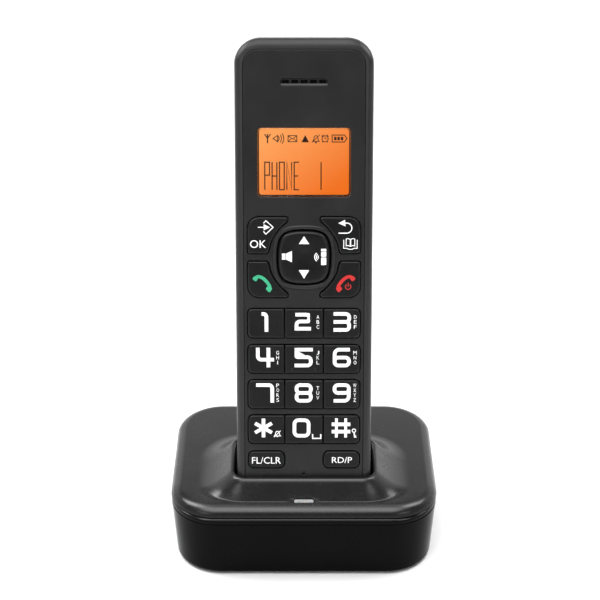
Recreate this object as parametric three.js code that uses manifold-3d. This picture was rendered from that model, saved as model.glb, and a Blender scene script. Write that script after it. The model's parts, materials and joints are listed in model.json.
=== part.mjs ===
// A cordless phone handset standing in its charging base.
//
// Millimetres, +Z up, the keypad faces -Y. The origin lies on the desk under the middle of the
// whole object, handset included. Handset pieces are drawn in the handset's own axes (X across,
// Y from the front face to the back, Z along its length) inside a group that leans back into the base.

import * as THREE from 'three';
import { mergeVertices } from 'three/addons/utils/BufferGeometryUtils.js';
import Module from 'manifold-3d';

const wasm = await Module();
wasm.setup();

// Running gap between pieces that touch.
const GAP = 0.3;

// Base.
const ORIGIN_SHIFT = 0.7;
const BASE_HALF_WIDTH = 48.2;
const BASE_FRONT = -38.75;
const BASE_BACK = 34.3;
const BASE_CORNER = 17.2;
const CASE_CORNER = 17;
const BASE_WALL = 2;
const FOOT_HEIGHT = 1.5;
const CASE_BOTTOM = 1.2;
const CASE_FLOOR = 3.2;
const CASE_TOP = 25.6;
const SEAM_HEIGHT = 25.9;
const TOP_HEIGHT = 29.5;
const EDGE_RADIUS = 4.2;
const COLLAR_HEIGHT = 36.5;
const COLLAR_LIP = 1.3;
const COLLAR_FLANK = 14;
const COLLAR_FRONT_FLANK = 6.6;
const FLANK_HOLLOW = 0.6;
const FRONT_FLANK_HOLLOW = 0.88;
const BASE_MIDDLE = -2.6;

// Handset.
const LEAN = THREE.MathUtils.degToRad(16);
const HANDSET_FOOT = new THREE.Vector3(0, -29.65, 27.3);
const LENGTH = 164.6;
const HALF_WIDTH = 24;
const THICKNESS = 24;
const WALL = 1.8;
const SHELL_SEAM = 11;
const SEAM_DRAFT = 0.35;
const TOP_CORNER = 9;
const BOTTOM_CORNER = 6;
const BEVEL = 2.9;
const TOP_BEVEL = 3.8;

// Battery side of the handset.
const DOOR_RECESS = 22.4;
const DOOR_HALF_WIDTH = 18;
const DOOR_LOW = 25.3;
const DOOR_HIGH = 111.5;
const BAY = { halfWidth: 12.7, low: 29, high: 80.6, front: 10.8 };
const CELL_RADIUS = 5.25;
const CELL_X = 5.6;
const CELL_DEPTH = 16.4;
const CELL_LOW = 33.5;
const CELL_HIGH = 76.8;
const SHELL_SCREW = { x: 15.8, z: 106.6 };

// Pocket in the base, in handset axes.
const POCKET = { halfWidth: 24.9, front: -0.9, back: 23.3, floor: -0.35, corner: 4 };

// Charging contacts, in handset axes.
const CONTACT = { x: 12, y: 16, halfWidth: 2, strip: 0.5 };

// Keypad, in handset axes.
const KEY_FRONT = -0.7;
const KEY_BACK = 3;
const FLANGE_FRONT = 2.1;
const FLANGE = 0.7;
const MAT = { front: 4.1, back: 5.3, high: 103.8 };
const BOARD = { front: 5.6, back: 6.8, halfWidth: 21.4, low: 4, high: 138 };
const NAV = { z: 88.86, halfWidth: 9.05, halfHeight: 9.4, gap: 0.4, bead: 11 };
const ROWS = [
  { low: 59.8, high: 70.8, names: ['key_1', 'key_2', 'key_3'] },
  { low: 47, high: 57.8, names: ['key_4', 'key_5', 'key_6'] },
  { low: 34, high: 45, names: ['key_7', 'key_8', 'key_9'] },
  { low: 21.1, high: 32.1, names: ['key_star', 'key_0', 'key_hash'] },
];
const ROW_HALF_WIDTH = 20;
const KEY_DIVIDER = 6.85;
const SOFT_KEYS = [
  { name: 'key_menu_ok', side: -1, end: 1 },
  { name: 'key_back_book', side: 1, end: 1 },
  { name: 'key_talk', side: -1, end: -1 },
  { name: 'key_end', side: 1, end: -1 },
];
const SMALL_KEYS = [
  { name: 'key_flash_clear', side: -1 },
  { name: 'key_redial_pause', side: 1 },
];
const SMALL_KEY = { near: 6.7, far: 20, low: 12.05, high: 18.7, corner: 2.2 };
const WINDOW = { halfWidth: 16, low: 110.2, high: 133.9, corner: 1.4 };
const DISPLAY = { halfWidth: 18.5, low: 109.2, high: 136 };
const EARPIECE = { z: 149.75, halfWidth: 8.3, halfHeight: 1.25 };
const MICROPHONE_Z = 10.1;
const RINGER_Z = 128;

// Sockets in the back wall of the base.
const SOCKETS = [
  { name: 'line_socket', x: -22, halfWidth: 7.5, mouth: 5.1 },
  { name: 'power_socket', x: 22, halfWidth: 6.2, mouth: 4 },
];
const SOCKET = { front: 15.7, back: 29.9, low: 6.5, high: 17, mouthLow: 8.2, mouthHigh: 14.9, depth: 12 };
const PAGE_BUTTON = { halfWidth: 6, low: 10, high: 16, corner: 2.9 };

function plastic(color, roughness) {
  return new THREE.MeshStandardMaterial({ color, roughness, metalness: 0 });
}

function metal(color, roughness) {
  return new THREE.MeshStandardMaterial({ color, roughness, metalness: 1 });
}

const MATERIALS = {
  shell: () => plastic(0x2e2e30, 0.55),
  cover: () => plastic(0x343436, 0.5),
  gloss: () => plastic(0x0d0d0f, 0.15),
  key: () => plastic(0x202022, 0.6),
  lens: () => plastic(0xff8a33, 0.1),
  display: () => plastic(0x9a4a10, 0.3),
  diffuser: () => plastic(0xf2f2ee, 0.4),
  rubber: () => plastic(0x161616, 0.9),
  silicone: () => plastic(0x8f9294, 0.8),
  board: () => plastic(0x1f5a34, 0.5),
  dark: () => plastic(0x101012, 0.4),
  cell: () => plastic(0x2f7d4f, 0.35),
  tin: () => metal(0xb9bcc0, 0.35),
  nickel: () => metal(0xd0cdc4, 0.25),
  gold: () => metal(0xd9b35b, 0.3),
};

// ---- Outlines ----

// Points of a rectangle with rounded corners, anticlockwise from the low right corner.
function roundedRect(left, right, low, high, radii, arcSteps = 4, sideSteps = 1) {
  const corners = [
    [right - radii[0], low + radii[0], -90],
    [right - radii[1], high - radii[1], 0],
    [left + radii[2], high - radii[2], 90],
    [left + radii[3], low + radii[3], 180],
  ];
  const arcs = corners.map(([x, y, start], i) => arc(x, y, radii[i], start, start + 90, arcSteps));
  const points = [];
  arcs.forEach((corner, i) => {
    const next = arcs[(i + 1) % arcs.length][0];
    const last = corner[corner.length - 1];
    points.push(...corner);
    for (let step = 1; step < sideSteps; step += 1) {
      points.push(last.clone().lerp(next, step / sideSteps));
    }
  });
  return points;
}

function arc(x, y, radius, startDegrees, endDegrees, steps) {
  const points = [];
  for (let step = 0; step <= steps; step += 1) {
    const angle = THREE.MathUtils.degToRad(startDegrees + (endDegrees - startDegrees) * step / steps);
    points.push(new THREE.Vector2(x + radius * Math.cos(angle), y + radius * Math.sin(angle)));
  }
  return points;
}

function evenRadii(radius) {
  return [radius, radius, radius, radius];
}

function baseOutline(inset, corner = BASE_CORNER - inset) {
  return roundedRect(
    inset - BASE_HALF_WIDTH, BASE_HALF_WIDTH - inset, BASE_FRONT + inset, BASE_BACK - inset,
    evenRadii(corner), 6, 2,
  );
}

function pocketOutline(grow) {
  return roundedRect(
    -POCKET.halfWidth - grow, POCKET.halfWidth + grow, POCKET.front - grow, POCKET.back + grow,
    evenRadii(POCKET.corner + grow), 6, 2,
  );
}

function handsetOutline(inset, topInset = inset) {
  const low = Math.max(BOTTOM_CORNER - inset, 1);
  const high = Math.max(TOP_CORNER - topInset, 1);
  return roundedRect(
    inset - HALF_WIDTH, HALF_WIDTH - inset, inset, LENGTH - topInset, [low, high, high, low], 5,
  );
}

// The navigation key's soft square, grown outwards by the given amount.
function navOutline(grow, steps = 24) {
  const points = [];
  for (let step = 0; step < steps; step += 1) {
    const angle = 2 * Math.PI * step / steps;
    const across = Math.cos(angle);
    const along = Math.sin(angle);
    const reach = (across ** 4 + along ** 4) ** -0.19;
    points.push(new THREE.Vector2(
      across * reach * (NAV.halfWidth + grow), NAV.z + along * reach * (NAV.halfHeight + grow),
    ));
  }
  return points;
}

// One of the four keys around the navigation key. Its inner edge bends round the bead.
function softKeyOutline({ side, end }, shrink) {
  const near = 5.4 + shrink;
  const far = 19.9 - shrink;
  const low = 1.14 + shrink;
  const high = 14.54 - shrink;
  const inner = new THREE.SplineCurve([
    new THREE.Vector2(11.95 + shrink, low + 1),
    new THREE.Vector2(10.1 + shrink * 0.75, 7.8 + shrink * 0.65),
    new THREE.Vector2(near + 0.5, 12.1 + shrink),
  ]);
  const points = [
    ...arc(far - 4.4, high - 4.4, 4.4, 90, 0, 5),
    ...arc(far - 0.9, low + 0.9, 0.9, 0, -90, 2),
    new THREE.Vector2(12.9 + shrink, low),
    ...inner.getPoints(6),
    new THREE.Vector2(near, 12.7 + shrink),
    ...arc(near + 0.9, high - 0.9, 0.9, 180, 90, 2),
  ];
  return points.map((point) => new THREE.Vector2(side * point.x, NAV.z + end * point.y));
}

// ---- Solids ----

const atHeight = (outline, z) => outline.map((point) => new THREE.Vector3(point.x, point.y, z));
const atDepth = (outline, y) => outline.map((point) => new THREE.Vector3(point.x, y, point.y));

// Triangles that close a ring, found in the plane the ring lies closest to.
function capTriangles(ring) {
  const size = new THREE.Box3().setFromPoints(ring).getSize(new THREE.Vector3());
  const thin = ['x', 'y', 'z'].reduce((best, axis) => (size[axis] < size[best] ? axis : best), 'x');
  const [first, second] = ['x', 'y', 'z'].filter((axis) => axis !== thin);
  const flat = ring.map((point) => new THREE.Vector2(point[first], point[second]));
  const turned = THREE.ShapeUtils.isClockWise(flat);
  const contour = turned ? flat.slice().reverse() : flat;
  const last = ring.length - 1;
  const faces = THREE.ShapeUtils.triangulateShape(contour, []);
  return faces.map((face) => face.map((index) => (turned ? last - index : index)));
}

// A closed skin through a row of rings with the same number of points.
function loft(rings) {
  const count = rings[0].length;
  const vertices = rings.flat();
  const triangles = [];
  for (let ring = 0; ring + 1 < rings.length; ring += 1) {
    for (let i = 0; i < count; i += 1) {
      const a = ring * count + i;
      const b = ring * count + (i + 1) % count;
      triangles.push([a, b, a + count], [b, b + count, a + count]);
    }
  }
  const start = outwardCap(rings[0], 0, triangles);
  const end = outwardCap(rings[rings.length - 1], (rings.length - 1) * count, triangles);
  return skin(vertices, [...triangles, ...start, ...end]);
}

// Cap triangles turned so that they cross each side edge the opposite way to the side.
function outwardCap(ring, offset, sides) {
  const cap = capTriangles(ring).map((face) => face.map((index) => index + offset));
  const edges = new Set(sides.flatMap((face) => face.map((a, i) => `${a} ${face[(i + 1) % 3]}`)));
  const clash = cap.some((face) => face.some((a, i) => edges.has(`${a} ${face[(i + 1) % 3]}`)));
  return clash ? cap.map(([a, b, c]) => [a, c, b]) : cap;
}

function skin(vertices, triangles) {
  const volume = triangles.reduce((sum, [a, b, c]) => {
    const normal = new THREE.Vector3().crossVectors(vertices[b], vertices[c]);
    return sum + vertices[a].dot(normal);
  }, 0);
  const outward = volume > 0 ? triangles : triangles.map(([a, b, c]) => [a, c, b]);
  const geometry = new THREE.BufferGeometry().setFromPoints(vertices);
  geometry.setIndex(outward.flat());
  return geometry;
}

const slab = (outline, front, back) => loft([atDepth(outline, front), atDepth(outline, back)]);
const plate = (outline, low, high) => loft([atHeight(outline, low), atHeight(outline, high)]);

function box(x0, x1, y0, y1, z0, z1) {
  const geometry = new THREE.BoxGeometry(x1 - x0, y1 - y0, z1 - z0);
  return geometry.translate((x0 + x1) / 2, (y0 + y1) / 2, (z0 + z1) / 2);
}

// An upright cylinder.
function post(x, y, radius, low, high, sides = 16) {
  const geometry = new THREE.CylinderGeometry(radius, radius, high - low, sides);
  return geometry.rotateX(Math.PI / 2).translate(x, y, (low + high) / 2);
}

// A cylinder along the handset's depth.
function peg(x, z, radius, front, back, sides = 16) {
  const geometry = new THREE.CylinderGeometry(radius, radius, back - front, sides);
  return geometry.translate(x, (front + back) / 2, z);
}

// A round body along the handset's depth, from a half profile of [radius, depth].
function turned(profile, x, z, sides = 24) {
  const points = profile.map(([radius, depth]) => new THREE.Vector2(radius, depth));
  return new THREE.LatheGeometry(points, sides).translate(x, 0, z);
}

function solid(geometry) {
  const bare = geometry.clone();
  bare.deleteAttribute('normal');
  bare.deleteAttribute('uv');
  const merged = mergeVertices(bare, 1e-5);
  return new wasm.Manifold(new wasm.Mesh({
    numProp: 3,
    vertProperties: new Float32Array(merged.attributes.position.array),
    triVerts: new Uint32Array(merged.index.array),
  }));
}

// Joins the added geometries to the first one and then takes the cuts away.
function shaped(geometry, added, cuts) {
  let body = solid(geometry);
  added.forEach((piece) => {
    body = body.add(solid(piece));
  });
  cuts.forEach((piece) => {
    body = body.subtract(solid(piece));
  });
  const mesh = body.getMesh();
  const result = new THREE.BufferGeometry();
  result.setAttribute('position', new THREE.BufferAttribute(mesh.vertProperties, 3));
  result.setIndex(new THREE.BufferAttribute(mesh.triVerts, 1));
  return result;
}

// ---- Placing ----

const assembly = new THREE.Group();
assembly.position.y = ORIGIN_SHIFT;
const handset = new THREE.Group();
handset.position.copy(HANDSET_FOOT);
handset.rotation.x = -LEAN;
handset.updateMatrix();
assembly.add(handset);

function addPiece(group, name, material, geometry) {
  geometry.computeVertexNormals();
  const mesh = new THREE.Mesh(geometry, MATERIALS[material]());
  mesh.name = name;
  group.add(mesh);
}

const inBase = (geometry) => geometry.applyMatrix4(handset.matrix);

// ---- Base top cover ----

// A ring of the pocket's leaning walls, cut off level at a height above the desk.
function levelPocketRing(outline, height) {
  return atHeight(outline, 0).map((point) => {
    const along = (height - HANDSET_FOOT.z + point.y * Math.sin(LEAN)) / Math.cos(LEAN);
    return new THREE.Vector3(point.x, point.y, along).applyMatrix4(handset.matrix);
  });
}

// A ring of the pocket's walls square to the handset.
function squarePocketRing(outline, along) {
  return atHeight(outline, along).map((point) => point.applyMatrix4(handset.matrix));
}

// Rings around the collar. Its flank is wide at the sides and the back, and narrow in front.
function collarRing(fraction, drop) {
  const inner = levelPocketRing(pocketOutline(0), COLLAR_HEIGHT);
  const beyond = levelPocketRing(pocketOutline(1), COLLAR_HEIGHT);
  return inner.map((start, i) => {
    const away = beyond[i].clone().sub(start);
    const hollow = FLANK_HOLLOW + (FRONT_FLANK_HOLLOW - FLANK_HOLLOW) * Math.max(0, -away.y) ** 3;
    const rise = (1 + Math.cos(Math.PI * fraction ** hollow)) / 2;
    const reach = away.y < 0 ? COLLAR_FRONT_FLANK : COLLAR_FLANK;
    return new THREE.Vector3(
      start.x + away.x * (COLLAR_LIP + (COLLAR_FLANK - COLLAR_LIP) * fraction),
      start.y + away.y * (COLLAR_LIP + (reach - COLLAR_LIP) * fraction),
      TOP_HEIGHT + (COLLAR_HEIGHT - TOP_HEIGHT) * rise - drop,
    );
  });
}

function edgeRing(degrees) {
  const angle = THREE.MathUtils.degToRad(degrees);
  const inset = EDGE_RADIUS * (1 - Math.cos(angle));
  const height = SEAM_HEIGHT + (TOP_HEIGHT - SEAM_HEIGHT) * Math.sin(angle);
  return atHeight(baseOutline(inset), height);
}

function topCover() {
  const pocketWall = 1.5;
  const rings = [
    squarePocketRing(pocketOutline(-0.8), POCKET.floor),
    squarePocketRing(pocketOutline(0), POCKET.floor + 0.8),
    levelPocketRing(pocketOutline(0), COLLAR_HEIGHT - 1),
    levelPocketRing(pocketOutline(0.35), COLLAR_HEIGHT - 0.3),
    collarRing(0, 0),
    collarRing(0.2, 0),
    collarRing(0.4, 0),
    collarRing(0.6, 0),
    collarRing(0.8, 0),
    collarRing(1, 0),
    edgeRing(66),
    edgeRing(40),
    edgeRing(18),
    edgeRing(0),
    atHeight(baseOutline(BASE_WALL), SEAM_HEIGHT),
    atHeight(baseOutline(BASE_WALL), SEAM_HEIGHT + 0.9),
    atHeight(baseOutline(BASE_WALL + 1.6), SEAM_HEIGHT + 1.7),
    collarRing(0.95, 2),
    collarRing(0.6, 2.2),
    collarRing(0.3, 2.6),
    levelPocketRing(pocketOutline(pocketWall), COLLAR_HEIGHT - 4.5),
    squarePocketRing(pocketOutline(pocketWall), POCKET.floor - 1.6),
  ];
  const bosses = [-38.5, 38.5].map((x) => post(x, BASE_MIDDLE, 3.2, CASE_FLOOR + 2.3, TOP_HEIGHT - 1));
  const pilots = [-38.5, 38.5].map((x) => post(x, BASE_MIDDLE, 1.6, CASE_FLOOR + 1, 17));
  const slots = [-CONTACT.x, CONTACT.x].map((x) => inBase(box(
    x - 2.5, x + 2.5, CONTACT.y - 2.5, CONTACT.y + 2.5, POCKET.floor - 3, POCKET.floor + 1,
  )));
  const lampSlot = plate(roundedRect(-3.8, 3.8, -34.55, -32.45, evenRadii(1), 3), 24.7, 34);
  return shaped(loft(rings), bosses, [...pilots, ...slots, lampSlot]);
}

// ---- Base bottom case ----

function bottomCase() {
  const profile = [
    [2.1, CASE_BOTTOM], [1.5, CASE_BOTTOM + 1.2], [1.3, CASE_BOTTOM + 3.8], [0.2, 22.5], [0.6, 23],
    [0.6, CASE_TOP], [2.6, CASE_TOP], [2.6, CASE_TOP - 2], [4.2, CASE_FLOOR],
  ];
  const rings = profile.map(([inset, z]) => atHeight(baseOutline(inset, CASE_CORNER), z));
  const screwPads = [-38.5, 38.5].map((x) => post(x, BASE_MIDDLE, 4.4, CASE_BOTTOM + 0.1, 5.2));
  const standoffs = [];
  for (const x of [-27, 27]) {
    for (const y of [-24, 20]) {
      standoffs.push(post(x, y, 2, CASE_BOTTOM + 1, 4.3, 12));
    }
  }
  const screwHoles = [-38.5, 38.5].flatMap((x) => [
    post(x, BASE_MIDDLE, 3.2, 0, 3.6),
    post(x, BASE_MIDDLE, 1.6, 0, 6),
  ]);
  const footSeats = FEET.map(({ x, y }) => post(x, y, 4.8, 0, FOOT_HEIGHT + GAP));
  const mouths = SOCKETS.map(({ x, mouth }) => box(
    x - mouth - GAP, x + mouth + GAP, 28, 36, SOCKET.mouthLow - GAP, SOCKET.mouthHigh + GAP,
  ));
  const buttonHole = slab(pageButtonOutline(GAP), 28, 36);
  return shaped(
    loft(rings), [...screwPads, ...standoffs], [...screwHoles, ...footSeats, ...mouths, buttonHole],
  );
}

const FEET = [
  { name: 'base_foot_1', x: -33, y: BASE_MIDDLE - 22.5 },
  { name: 'base_foot_2', x: 33, y: BASE_MIDDLE - 22.5 },
  { name: 'base_foot_3', x: -33, y: BASE_MIDDLE + 22.5 },
  { name: 'base_foot_4', x: 33, y: BASE_MIDDLE + 22.5 },
];

function pageButtonOutline(grow) {
  return roundedRect(
    -PAGE_BUTTON.halfWidth - grow, PAGE_BUTTON.halfWidth + grow,
    PAGE_BUTTON.low - grow, PAGE_BUTTON.high + grow, evenRadii(PAGE_BUTTON.corner + grow),
  );
}

// ---- Pieces inside and on the base ----

function socket({ x, halfWidth, mouth }) {
  const block = box(x - halfWidth, x + halfWidth, SOCKET.front, SOCKET.back, SOCKET.low, SOCKET.high);
  const hollow = box(
    x - mouth, x + mouth, SOCKET.back - SOCKET.depth, SOCKET.back + 1, SOCKET.mouthLow, SOCKET.mouthHigh,
  );
  const latch = box(
    x - mouth * 0.45, x + mouth * 0.45, SOCKET.back - 7, SOCKET.back + 1,
    SOCKET.mouthHigh - 0.5, SOCKET.mouthHigh + 1.2,
  );
  return shaped(block, [], [hollow, latch]);
}

function pageButton() {
  const cap = slab(pageButtonOutline(0), 29.9, 33.9);
  const flange = slab(pageButtonOutline(1.2), 29.1, 30.2);
  return shaped(cap, [flange], []);
}

function pageSwitch() {
  const body = box(-3, 3, 22.7, 26.7, 6.5, 16);
  const plunger = peg(0, 13, 1.7, 26.2, 28);
  return shaped(body, [plunger], []);
}

function baseBoard() {
  const outline = roundedRect(-31, 31, -33.8, 29.1, evenRadii(2), 2);
  return plate(outline, 4.6, 6.2);
}

// A pressed metal can, open towards the board it covers.
function baseShieldCan() {
  return shaped(box(-12, 12, -16, 6, 6.5, 10.2), [], [box(-11.6, 11.6, -15.6, 5.6, 6, 9.8)]);
}

function lightGuide() {
  const profile = [
    [-34.25, 29.6], [-32.75, 30.9], [-32.75, 28.3], [-33.6, 26], [-33.9, 22],
    [-32.9, 8], [-34.4, 8], [-35.4, 22], [-35.2, 26], [-34.25, 28],
  ];
  const shape = new THREE.Shape(profile.map(([y, z]) => new THREE.Vector2(y, z)));
  const guide = new THREE.ExtrudeGeometry(shape, { depth: 7, bevelEnabled: false });
  guide.applyMatrix4(new THREE.Matrix4().set(0, 0, 1, -3.5, 1, 0, 0, 0, 0, 1, 0, 0, 0, 0, 0, 1));
  return guide;
}

// A pan-head screw standing on its head, with a cross recess in the head.
function baseScrew(x) {
  const head = post(x, BASE_MIDDLE, 2.8, 1.7, 3.3, 20);
  const shank = post(x, BASE_MIDDLE, 1.3, 3, 14, 12);
  const recess = [
    box(x - 1.5, x + 1.5, BASE_MIDDLE - 0.35, BASE_MIDDLE + 0.35, 1, 2.5),
    box(x - 0.35, x + 0.35, BASE_MIDDLE - 1.5, BASE_MIDDLE + 1.5, 1, 2.5),
  ];
  return shaped(head, [shank], recess);
}

// A sprung strip bent over at its top, where it presses on the handset's plate.
function chargeContact(x) {
  const strip = new THREE.Shape();
  const outside = 1.8;
  const inside = outside - CONTACT.strip;
  strip.moveTo(-outside, -14);
  strip.lineTo(-outside, -outside);
  strip.absarc(0, -outside, outside, Math.PI, 0, true);
  strip.lineTo(outside, -6);
  strip.lineTo(inside, -6);
  strip.lineTo(inside, -outside);
  strip.absarc(0, -outside, inside, 0, Math.PI, false);
  strip.lineTo(-inside, -14);
  const leaf = new THREE.ExtrudeGeometry(strip, {
    depth: 2 * CONTACT.halfWidth, bevelEnabled: false, curveSegments: 8,
  });
  const left = x - CONTACT.halfWidth;
  return leaf.applyMatrix4(new THREE.Matrix4().set(
    0, 0, 1, left, 1, 0, 0, CONTACT.y, 0, 1, 0, 0, 0, 0, 0, 1,
  ));
}

// ---- Handset shells ----

function frontShell() {
  const rings = [
    atDepth(handsetOutline(BEVEL, TOP_BEVEL), 0),
    atDepth(handsetOutline(1.5, 1.9), 0.5),
    atDepth(handsetOutline(0.45, 0.55), 1.4),
    atDepth(handsetOutline(0), 2.8),
    atDepth(handsetOutline(SEAM_DRAFT), SHELL_SEAM - GAP / 2),
    atDepth(handsetOutline(WALL + SEAM_DRAFT), SHELL_SEAM - GAP / 2),
    atDepth(handsetOutline(WALL), 2.8),
    atDepth(handsetOutline(3, 3.8), WALL),
  ];
  const bead = slab(navOutline(NAV.bead - NAV.halfWidth), -0.4, 0.5);
  const bosses = [-1, 1].map((side) => peg(side * SHELL_SCREW.x, SHELL_SCREW.z, 2.2, 1, 11.6));
  const pilots = [-1, 1].map((side) => peg(side * SHELL_SCREW.x, SHELL_SCREW.z, 1.25, 3.8, 12));
  const through = (outline) => slab(outline, -2, 3.5);
  const openings = [
    through(navOutline(NAV.gap)),
    through(roundedRect(
      -WINDOW.halfWidth - GAP, WINDOW.halfWidth + GAP, WINDOW.low - GAP, WINDOW.high + GAP,
      evenRadii(WINDOW.corner + GAP),
    )),
    through(roundedRect(
      -EARPIECE.halfWidth, EARPIECE.halfWidth, EARPIECE.z - EARPIECE.halfHeight,
      EARPIECE.z + EARPIECE.halfHeight, evenRadii(EARPIECE.halfHeight - 0.05),
    )),
    ...ROWS.map(({ low, high }) => through(roundedRect(
      -ROW_HALF_WIDTH, ROW_HALF_WIDTH, low, high, evenRadii(2),
    ))),
    ...SOFT_KEYS.map((key) => through(softKeyOutline(key, 0))),
    ...SMALL_KEYS.map(({ side }) => through(smallKeyOutline(side, 0))),
  ];
  const microphoneHole = peg(0, MICROPHONE_Z, 0.6, -1, 2.6, 12);
  return shaped(loft(rings), [bead, ...bosses], [...pilots, ...openings, microphoneHole]);
}

function rearShell() {
  const block = loft([
    atDepth(handsetOutline(SEAM_DRAFT), SHELL_SEAM + GAP / 2),
    atDepth(handsetOutline(0.9), 18.6),
    atDepth(handsetOutline(1.6), 21.4),
    atDepth(handsetOutline(3), 23.2),
    atDepth(handsetOutline(5.2), THICKNESS),
  ]);
  const cavity = loft([
    atDepth(handsetOutline(WALL + SEAM_DRAFT), SHELL_SEAM - 1),
    atDepth(handsetOutline(WALL + 0.9), 19),
    atDepth(handsetOutline(4), 20.8),
  ]);
  const tub = box(-13.9, 13.9, BAY.front - 1.2, 21, BAY.low - 1.2, BAY.high + 1.2);
  const wells = [-1, 1].map((side) => peg(side * SHELL_SCREW.x, SHELL_SCREW.z, 2.8, 12.2, 21));
  const wellHoles = [-1, 1].flatMap((side) => [
    peg(side * SHELL_SCREW.x, SHELL_SCREW.z, 2.1, 19.4, 26),
    peg(side * SHELL_SCREW.x, SHELL_SCREW.z, 1.25, 11, 20),
  ]);
  const cuts = [
    box(-30, 30, DOOR_RECESS, 26, -1, DOOR_LOW - GAP),
    box(-DOOR_HALF_WIDTH - GAP, DOOR_HALF_WIDTH + GAP, DOOR_RECESS, 26, 20, DOOR_HIGH + GAP),
    box(-BAY.halfWidth, BAY.halfWidth, BAY.front, 26, BAY.low, BAY.high),
    box(-11, 11, 19, 22.2, RINGER_Z - 11, RINGER_Z + 11),
    ...grilleSlots(),
    ...wellHoles,
    ...plateWindows(),
  ];
  return shaped(shaped(block, [], [cavity]), [tub, ...wells], cuts);
}

function grilleSlots() {
  const slots = [];
  for (let row = -2; row <= 2; row += 1) {
    const z = RINGER_Z + row * 2.6;
    const halfWidth = 7 - Math.abs(row);
    slots.push(slab(roundedRect(-halfWidth, halfWidth, z - 0.6, z + 0.6, evenRadii(0.55), 2), 21, 26));
  }
  return slots;
}

function plateWindows() {
  return [-CONTACT.x, CONTACT.x].map((x) => box(
    x - 3.1, x + 3.1, CONTACT.y - 2.8, CONTACT.y + 2.8, -1, WALL + 1.4,
  ));
}

function batteryDoor() {
  const low = DOOR_LOW;
  const panel = (inset) => roundedRect(
    inset - DOOR_HALF_WIDTH, DOOR_HALF_WIDTH - inset, low + inset, DOOR_HIGH - inset, evenRadii(1.2), 2,
  );
  const plain = loft([
    atDepth(panel(0), DOOR_RECESS + GAP),
    atDepth(panel(0), THICKNESS - 0.3),
    atDepth(panel(0.3), THICKNESS),
  ]);
  const grooves = [];
  for (let groove = 0; groove < 4; groove += 1) {
    const z = DOOR_HIGH - 9 - groove * 2.4;
    grooves.push(box(-7, 7, THICKNESS - 0.4, THICKNESS + 1, z, z + 1.1));
  }
  return shaped(plain, [], grooves);
}

// ---- Pieces inside the handset ----

function handsetBoard() {
  const outline = roundedRect(
    -BOARD.halfWidth, BOARD.halfWidth, BOARD.low, BOARD.high, evenRadii(2.5), 2,
  );
  const holes = [-1, 1].map((side) => peg(side * SHELL_SCREW.x, SHELL_SCREW.z, 2.6, 5, 8));
  return shaped(slab(outline, BOARD.front, BOARD.back), [], holes);
}

function keypadMat() {
  const outline = roundedRect(-21.2, 21.2, 5, MAT.high, evenRadii(2.5), 2);
  const holes = [
    peg(0, NAV.z, 4.6, 3.5, 6, 20),
    peg(0, MICROPHONE_Z, 3.4, 3.5, 6, 20),
  ];
  return shaped(slab(outline, MAT.front, MAT.back), [], holes);
}

function earpieceSpeaker() {
  return turned(
    [[0, 2.8], [6.5, 2.8], [9, 3.6], [9, 5.4], [6, 5.6], [6, 7.2], [0, 7.2]], 0, EARPIECE.z,
  );
}

function ringerSpeaker() {
  return turned(
    [[0, 17.4], [6, 17.4], [6, 18.8], [9.6, 19], [9.6, 21.2], [7.5, 21.9], [0, 21.9]], 0, RINGER_Z,
  );
}

// A rechargeable cell standing on end. Its small button points up or down.
function batteryCell(x, up) {
  const length = CELL_HIGH - CELL_LOW;
  const profile = [
    [0, 0], [CELL_RADIUS - 0.4, 0], [CELL_RADIUS, 0.4], [CELL_RADIUS, length - 0.4],
    [CELL_RADIUS - 0.4, length], [1.9, length], [1.9, length + 1.2], [0, length + 1.2],
  ];
  const points = profile.map(([radius, height]) => new THREE.Vector2(radius, height));
  const cell = new THREE.LatheGeometry(points, 20).rotateX(Math.PI / 2);
  if (!up) {
    cell.rotateX(Math.PI);
  }
  return cell.translate(x, CELL_DEPTH, up ? CELL_LOW : CELL_HIGH);
}

// A spring of three and a half turns that narrows towards the cell.
class SpringCurve extends THREE.Curve {
  getPoint(t, target = new THREE.Vector3()) {
    const angle = 7 * Math.PI * t;
    const radius = 3.6 - 1.4 * t;
    return target.set(radius * Math.cos(angle), radius * Math.sin(angle), 2.4 * t);
  }
}

function batterySpring(x, low, flipped) {
  const wire = new THREE.Shape();
  wire.absarc(0, 0, 0.3, 0, 2 * Math.PI, false);
  const coil = new THREE.ExtrudeGeometry(wire, {
    steps: 30, curveSegments: 3, bevelEnabled: false, extrudePath: new SpringCurve(),
  });
  if (flipped) {
    coil.rotateX(Math.PI).translate(0, 0, 2.4);
  }
  return coil.translate(x, CELL_DEPTH, low);
}

// The strip that joins the two cells at the foot of the bay.
function batteryContactStrip() {
  const strip = box(-11, 11, 12, 21, BAY.low + GAP, BAY.low + 0.8);
  const pad = box(3.1, 8.1, 13.9, 18.9, BAY.low + 0.5, CELL_LOW - 1.2 - GAP);
  return shaped(strip, [pad], []);
}

function batteryTerminalPlate() {
  const leaf = box(-9.6, -1.6, 12.4, 20.4, BAY.high - 0.8, BAY.high - GAP);
  const dimple = box(-7.1, -4.1, 14.9, 17.9, CELL_HIGH + 1.2 + GAP, BAY.high - 0.5);
  return shaped(leaf, [dimple], []);
}

function handsetShieldCan() {
  return shaped(box(-12, 12, 7.1, 9.9, 88, 108), [], [box(-11.6, 11.6, 6, 9.5, 88.4, 107.6)]);
}

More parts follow.
